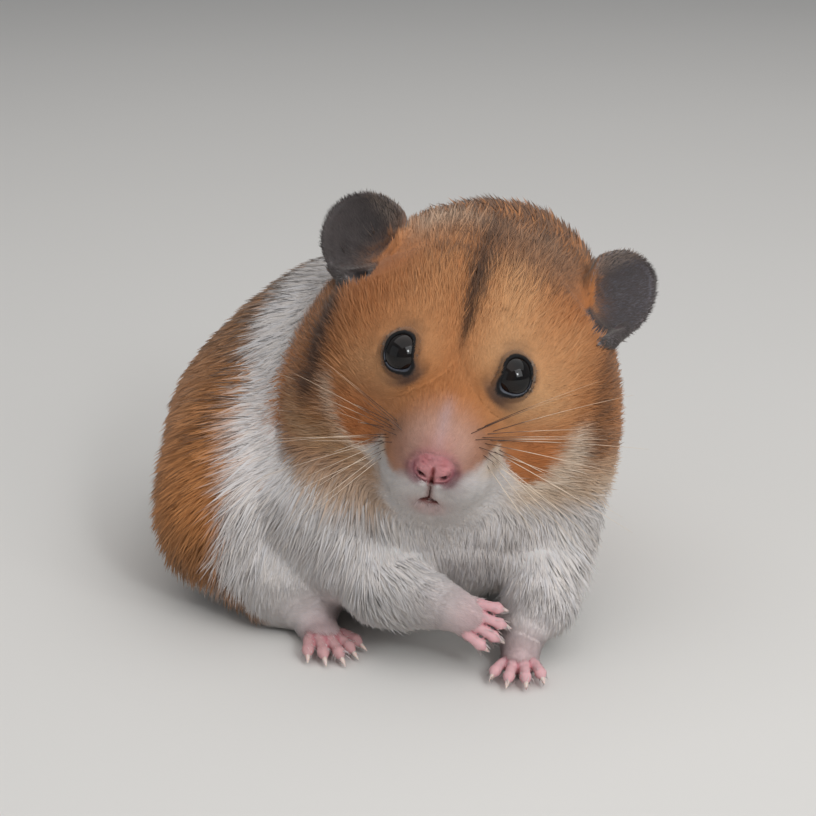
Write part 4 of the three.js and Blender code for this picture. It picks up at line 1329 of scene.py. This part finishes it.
def regions(root, nrm):
    q = into_head(root)
    own = body_field(root) > head_field(q)
    ew = ear_weight(q)[0] > 0.3
    face = distance(q, (0, 6, 0)) < 17
    name = np.full(len(root), "back", dtype="U16")
    name[nrm[:, 2] < -0.35] = "belly"
    flank = (np.abs(nrm[:, 2]) <= 0.35)
    name[flank & (root[:, 0] < 0)] = "flank_right"
    name[flank & (root[:, 0] >= 0)] = "flank_left"
    chest = (root[:, 1] < 24) & (root[:, 0] > -26) & (nrm[:, 1] < 0.3)
    name[chest] = "chest"
    name[own & (q[:, 2] > 12)] = "crown"
    name[own & (q[:, 2] <= 12) & (q[:, 0] < 0)] = "cheek_right"
    name[own & (q[:, 2] <= 12) & (q[:, 0] >= 0)] = "cheek_left"
    name[own & face & (q[:, 0] < 0)] = "face_right"
    name[own & face & (q[:, 0] >= 0)] = "face_left"
    name[ew] = "ears"
    return name


kind = regions(root, nrm)
MOST = 48500
for name in sorted(set(kind)):
    idx = np.nonzero(kind == name)[0]
    parts = -(-len(idx) // MOST)
    # cut a large region along its longest side
    if parts > 1:
        span = np.ptp(root[idx], axis=0)
        idx = idx[np.argsort(root[idx][:, span.argmax()], kind="stable")]
    for k, part in enumerate(np.array_split(idx, parts)):
        title = "coat_" + str(name) + ("_%d" % (k + 1) if parts > 1 else "")
        pts, nr, cols, faces = tufts(root[part], nrm[part], 1000 + 17 * k + 100 * sorted(set(kind)).index(name))
        uv = (unwrap(root[part], nrm[part])[:, None, :] + CORNERS[None]).reshape(-1, 2)
        ob = new_mesh(title, to_row(pts), faces, normals=row_normals(nr), colours={"coat": cols}, uv=uv)
        ob.data.materials.append(coat_mat)
        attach(ob, "root")
        print(title, len(faces))


# ---------------------------------------------------------------- build: eyes, claws, whiskers
def dome(centre, axis, radius, rings=28, sectors=48):
    """A closed ball whose front bulges a little as a cornea does."""
    axis = unit(axis)
    u = unit(np.cross(axis, [0.3, 0.1, 1]))
    w = np.cross(axis, u)
    pts, faces = [], []
    for i in range(rings + 1):
        th = math.pi * i / rings
        r = radius * (1 + 0.018 * math.exp(-((th / 0.75) ** 2)))
        for j in range(sectors if 0 < i < rings else 1):
            ph = 2 * math.pi * j / sectors
            pts.append(centre + r * (axis * math.cos(th) + (u * math.cos(ph) + w * math.sin(ph)) * math.sin(th)))
    row = lambda i, j: 0 if i == 0 else (1 + (rings - 1) * sectors if i == rings else 1 + (i - 1) * sectors + j % sectors)
    for i in range(rings):
        for j in range(sectors):
            a, b, c, d = row(i, j), row(i + 1, j), row(i + 1, j + 1), row(i, j + 1)
            if i == 0:
                faces.append((a, b, c))
            elif i == rings - 1:
                faces.append((a, b, d))
            else:
                faces += [(a, b, c), (a, c, d)]
    return np.array(pts), np.array(faces)


def outward(pts, faces):
    a, b, c = pts[faces[:, 0]], pts[faces[:, 1]], pts[faces[:, 2]]
    vol = np.einsum("ij,ij->i", a, np.cross(b, c)).sum()
    return faces[:, ::-1] if vol < 0 else faces


eye_mat = eye_material()
for side, s in (("left", 1), ("right", -1)):
    c = from_head(np.array([mirrored(EYE_AT, s)], F))[0]
    ax = EYE_AXIS * np.array([s, 1, 1], F)
    pts, faces = dome(c, ax @ HEAD_TURN.T, EYE_R)
    row = to_row(pts)
    ob = new_mesh("eyeball_" + side, row, outward(row, faces))
    ob.data.materials.append(eye_mat)
    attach(ob, "root")
    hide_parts("eye_" + side)


def tube(points, radii, sides=6):
    """A closed tapered tube along points, with a cap at each end."""
    points = np.asarray(points, np.float64)
    n = len(points)
    tan = np.gradient(points, axis=0)
    tan /= np.linalg.norm(tan, axis=1, keepdims=True)
    ref = np.array([0.13, 0.2, 0.97]) if abs(tan[0, 2]) < 0.9 else np.array([1.0, 0.1, 0.0])
    pts, faces = [points[0]], []
    for i in range(n):
        u = np.cross(tan[i], ref)
        u /= np.linalg.norm(u)
        w = np.cross(tan[i], u)
        for j in range(sides):
            a = 2 * math.pi * j / sides
            pts.append(points[i] + radii[i] * (u * math.cos(a) + w * math.sin(a)))
    pts.append(points[-1])
    at = lambda i, j: 1 + i * sides + j % sides
    for j in range(sides):
        faces.append((0, at(0, j + 1), at(0, j)))
        faces.append((len(pts) - 1, at(n - 1, j), at(n - 1, j + 1)))
    for i in range(n - 1):
        for j in range(sides):
            a, b, c, d = at(i, j), at(i, j + 1), at(i + 1, j + 1), at(i + 1, j)
            faces += [(a, b, c), (a, c, d)]
    return np.array(pts), np.array(faces)


def joined(items):
    pts, faces, k = [], [], 0
    for p, f in items:
        row = to_row(p)
        pts.append(row)
        faces.append(outward(row - row.mean(0), f) + k)
        k += len(p)
    return np.concatenate(pts), np.concatenate(faces)


claw_items = []
for name, toes in TOES.items():
    for toe in toes:
        a, b, c = (np.array(toe[k][:3]) for k in (4, 5, 6))
        line = [a + (b - a) * 0.15, a + (b - a) * 0.6, b, (b + c) / 2, c]
        for x in line:
            x[2] = max(x[2], 0.22)
        claw_items.append(tube(line, [0.40, 0.36, 0.28, 0.18, 0.07], 8))
pts, faces = joined(claw_items)
ob = new_mesh("claws", pts, faces)
ob.data.materials.append(claw_material())
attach(ob, "root")

# whiskers: rows on each whisker pad, dark at the root and pale to the tip
rng = np.random.default_rng(5)
w_pts, w_faces, w_cols, k0 = [], [], [], 0
for s in (1, -1):
    inward, rise = (0.9, 1.6) if s > 0 else (-0.8, -0.1)
    for row_i, (z0, count) in enumerate(((2.2, 3), (1.1, 4), (-0.1, 4), (-1.3, 4), (-2.7, 3))):
        for c in range(count):
            y0 = 4.2 + c * 1.15 + 0.3 * row_i
            start = np.array([[s * (5.0 - inward + 0.6 * c + 0.2 * row_i), y0, z0 + rise + 0.15 * c]], F) + rng.normal(0, 0.12, 3).astype(F)
            start = from_head(start)
            start = settle(start.astype(F), 6, 1.5)[0]
            length = (9.5 + 3.6 * c + 2.2 * min(row_i, 3)) * (0.8 + 0.4 * rng.random())
            up = (0.66 if s > 0 else 0.55) - (0.38 if s > 0 else 0.44) * row_i + rng.normal(0, 0.09)
            way = unit([s * 1.0, 0.05 + 0.17 * c + rng.normal(0, 0.06), up])
            sag = np.array([0, 0.10, -0.16 + 0.02 * row_i]) * length / 26
            t = np.linspace(0, 1, 15)[:, None]
            line = start - 0.3 * (way @ HEAD_TURN.T) + (way @ HEAD_TURN.T) * t * length + (sag @ HEAD_TURN.T) * (t**2) * length * 0.55
            radii = 0.050 * (1 - t[:, 0]) ** 0.8 + 0.012
            p_, f_ = tube(line, radii, 5)
            rowp = to_row(p_)
            w_pts.append(rowp)
            w_faces.append(outward(rowp - rowp.mean(0), f_) + k0)
            tt = np.concatenate([[0], np.repeat(t[:, 0], 5), [1]]) * length
            pale = mix(srgb(196, 160, 128), srgb(228, 208, 186), min(1.0, row_i / 2.5))
            dark = 6.5 - 1.6 * row_i
            w_cols.append(mix(np.tile(srgb(74, 50, 38), (len(tt), 1)), pale, smoothstep(dark, dark + 3.5, tt)))
            k0 += len(p_)
ob = new_mesh("whiskers", np.concatenate(w_pts), np.concatenate(w_faces), colours={"coat": np.concatenate(w_cols)})
ob.data.materials.append(whisker_material())
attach(ob, "root")

# ---------------------------------------------------------------- stage, light, camera
scene = bpy.context.scene


def plain(name, colour, rough):
    m, nt, b = material(name)
    n = noise_node(nt, 6.0, 2.0)
    ramp = nt.nodes.new("ShaderNodeValToRGB")
    ramp.color_ramp.elements[0].color = (*[c * 0.97 for c in colour], 1)
    ramp.color_ramp.elements[1].color = (*colour, 1)
    nt.links.new(n.outputs["Fac"], ramp.inputs["Fac"])
    nt.links.new(ramp.outputs["Color"], b.inputs["Base Color"])
    b.inputs["Roughness"].default_value = rough
    return m


R = 3.0
floor = new_mesh("floor", np.array([(-R, -R, 0), (R, -R, 0), (R, R, 0), (-R, R, 0)], float), np.array([[0, 1, 2, 3]]), smooth=False)
floor.data.materials.append(plain("floor_pale", (0.72, 0.70, 0.67), 0.75))

world = bpy.data.worlds.new("studio")
scene.world = world
world.use_nodes = True
world.node_tree.nodes["Background"].inputs["Color"].default_value = (0.93, 0.96, 1.0, 1)
world.node_tree.nodes["Background"].inputs["Strength"].default_value = 0.26

CAM_TARGET = np.array([0, 17.8, 36.4])
CAM_AT = np.array([0, 17.8 - 290 * math.cos(math.radians(19)), 36.4 + 290 * math.sin(math.radians(19))])


def aim(ob, at, target):
    from mathutils import Vector

    a, b = to_row(np.array(at, float)), to_row(np.array(target, float))
    ob.location = a
    ob.rotation_euler = Vector(b - a).to_track_quat("-Z", "Y").to_euler()


cam_data = bpy.data.cameras.new("camera")
cam = bpy.data.objects.new("camera", cam_data)
scene.collection.objects.link(cam)
cam_data.lens, cam_data.sensor_width, cam_data.sensor_fit = 85.0, 36.0, "HORIZONTAL"
cam_data.clip_start, cam_data.clip_end = 0.01, 20
aim(cam, CAM_AT, CAM_TARGET)
scene.camera = cam


def softbox(name, at, size_x, size_y, watts, colour):
    data = bpy.data.lights.new(name, "AREA")
    data.shape, data.size, data.size_y = "RECTANGLE", size_x / 1000, size_y / 1000
    data.energy, data.color = watts, colour
    ob = bpy.data.objects.new(name, data)
    scene.collection.objects.link(ob)
    aim(ob, at, (0, 30, 30))


softbox("window", (330, -430, 420), 420, 480, 1.75, (0.98, 0.99, 1.0))
softbox("pane", (215, -430, 330), 75, 105, 0.62, (0.95, 0.98, 1.0))
softbox("overhead", (60, 60, 640), 1000, 1000, 2.75, (1.0, 0.99, 0.98))
softbox("fill", (-560, -260, 240), 600, 600, 0.40, (0.95, 0.97, 1.0))
scene.view_settings.view_transform = "Standard"
scene.view_settings.look = "None"
scene.view_settings.exposure = 0.0
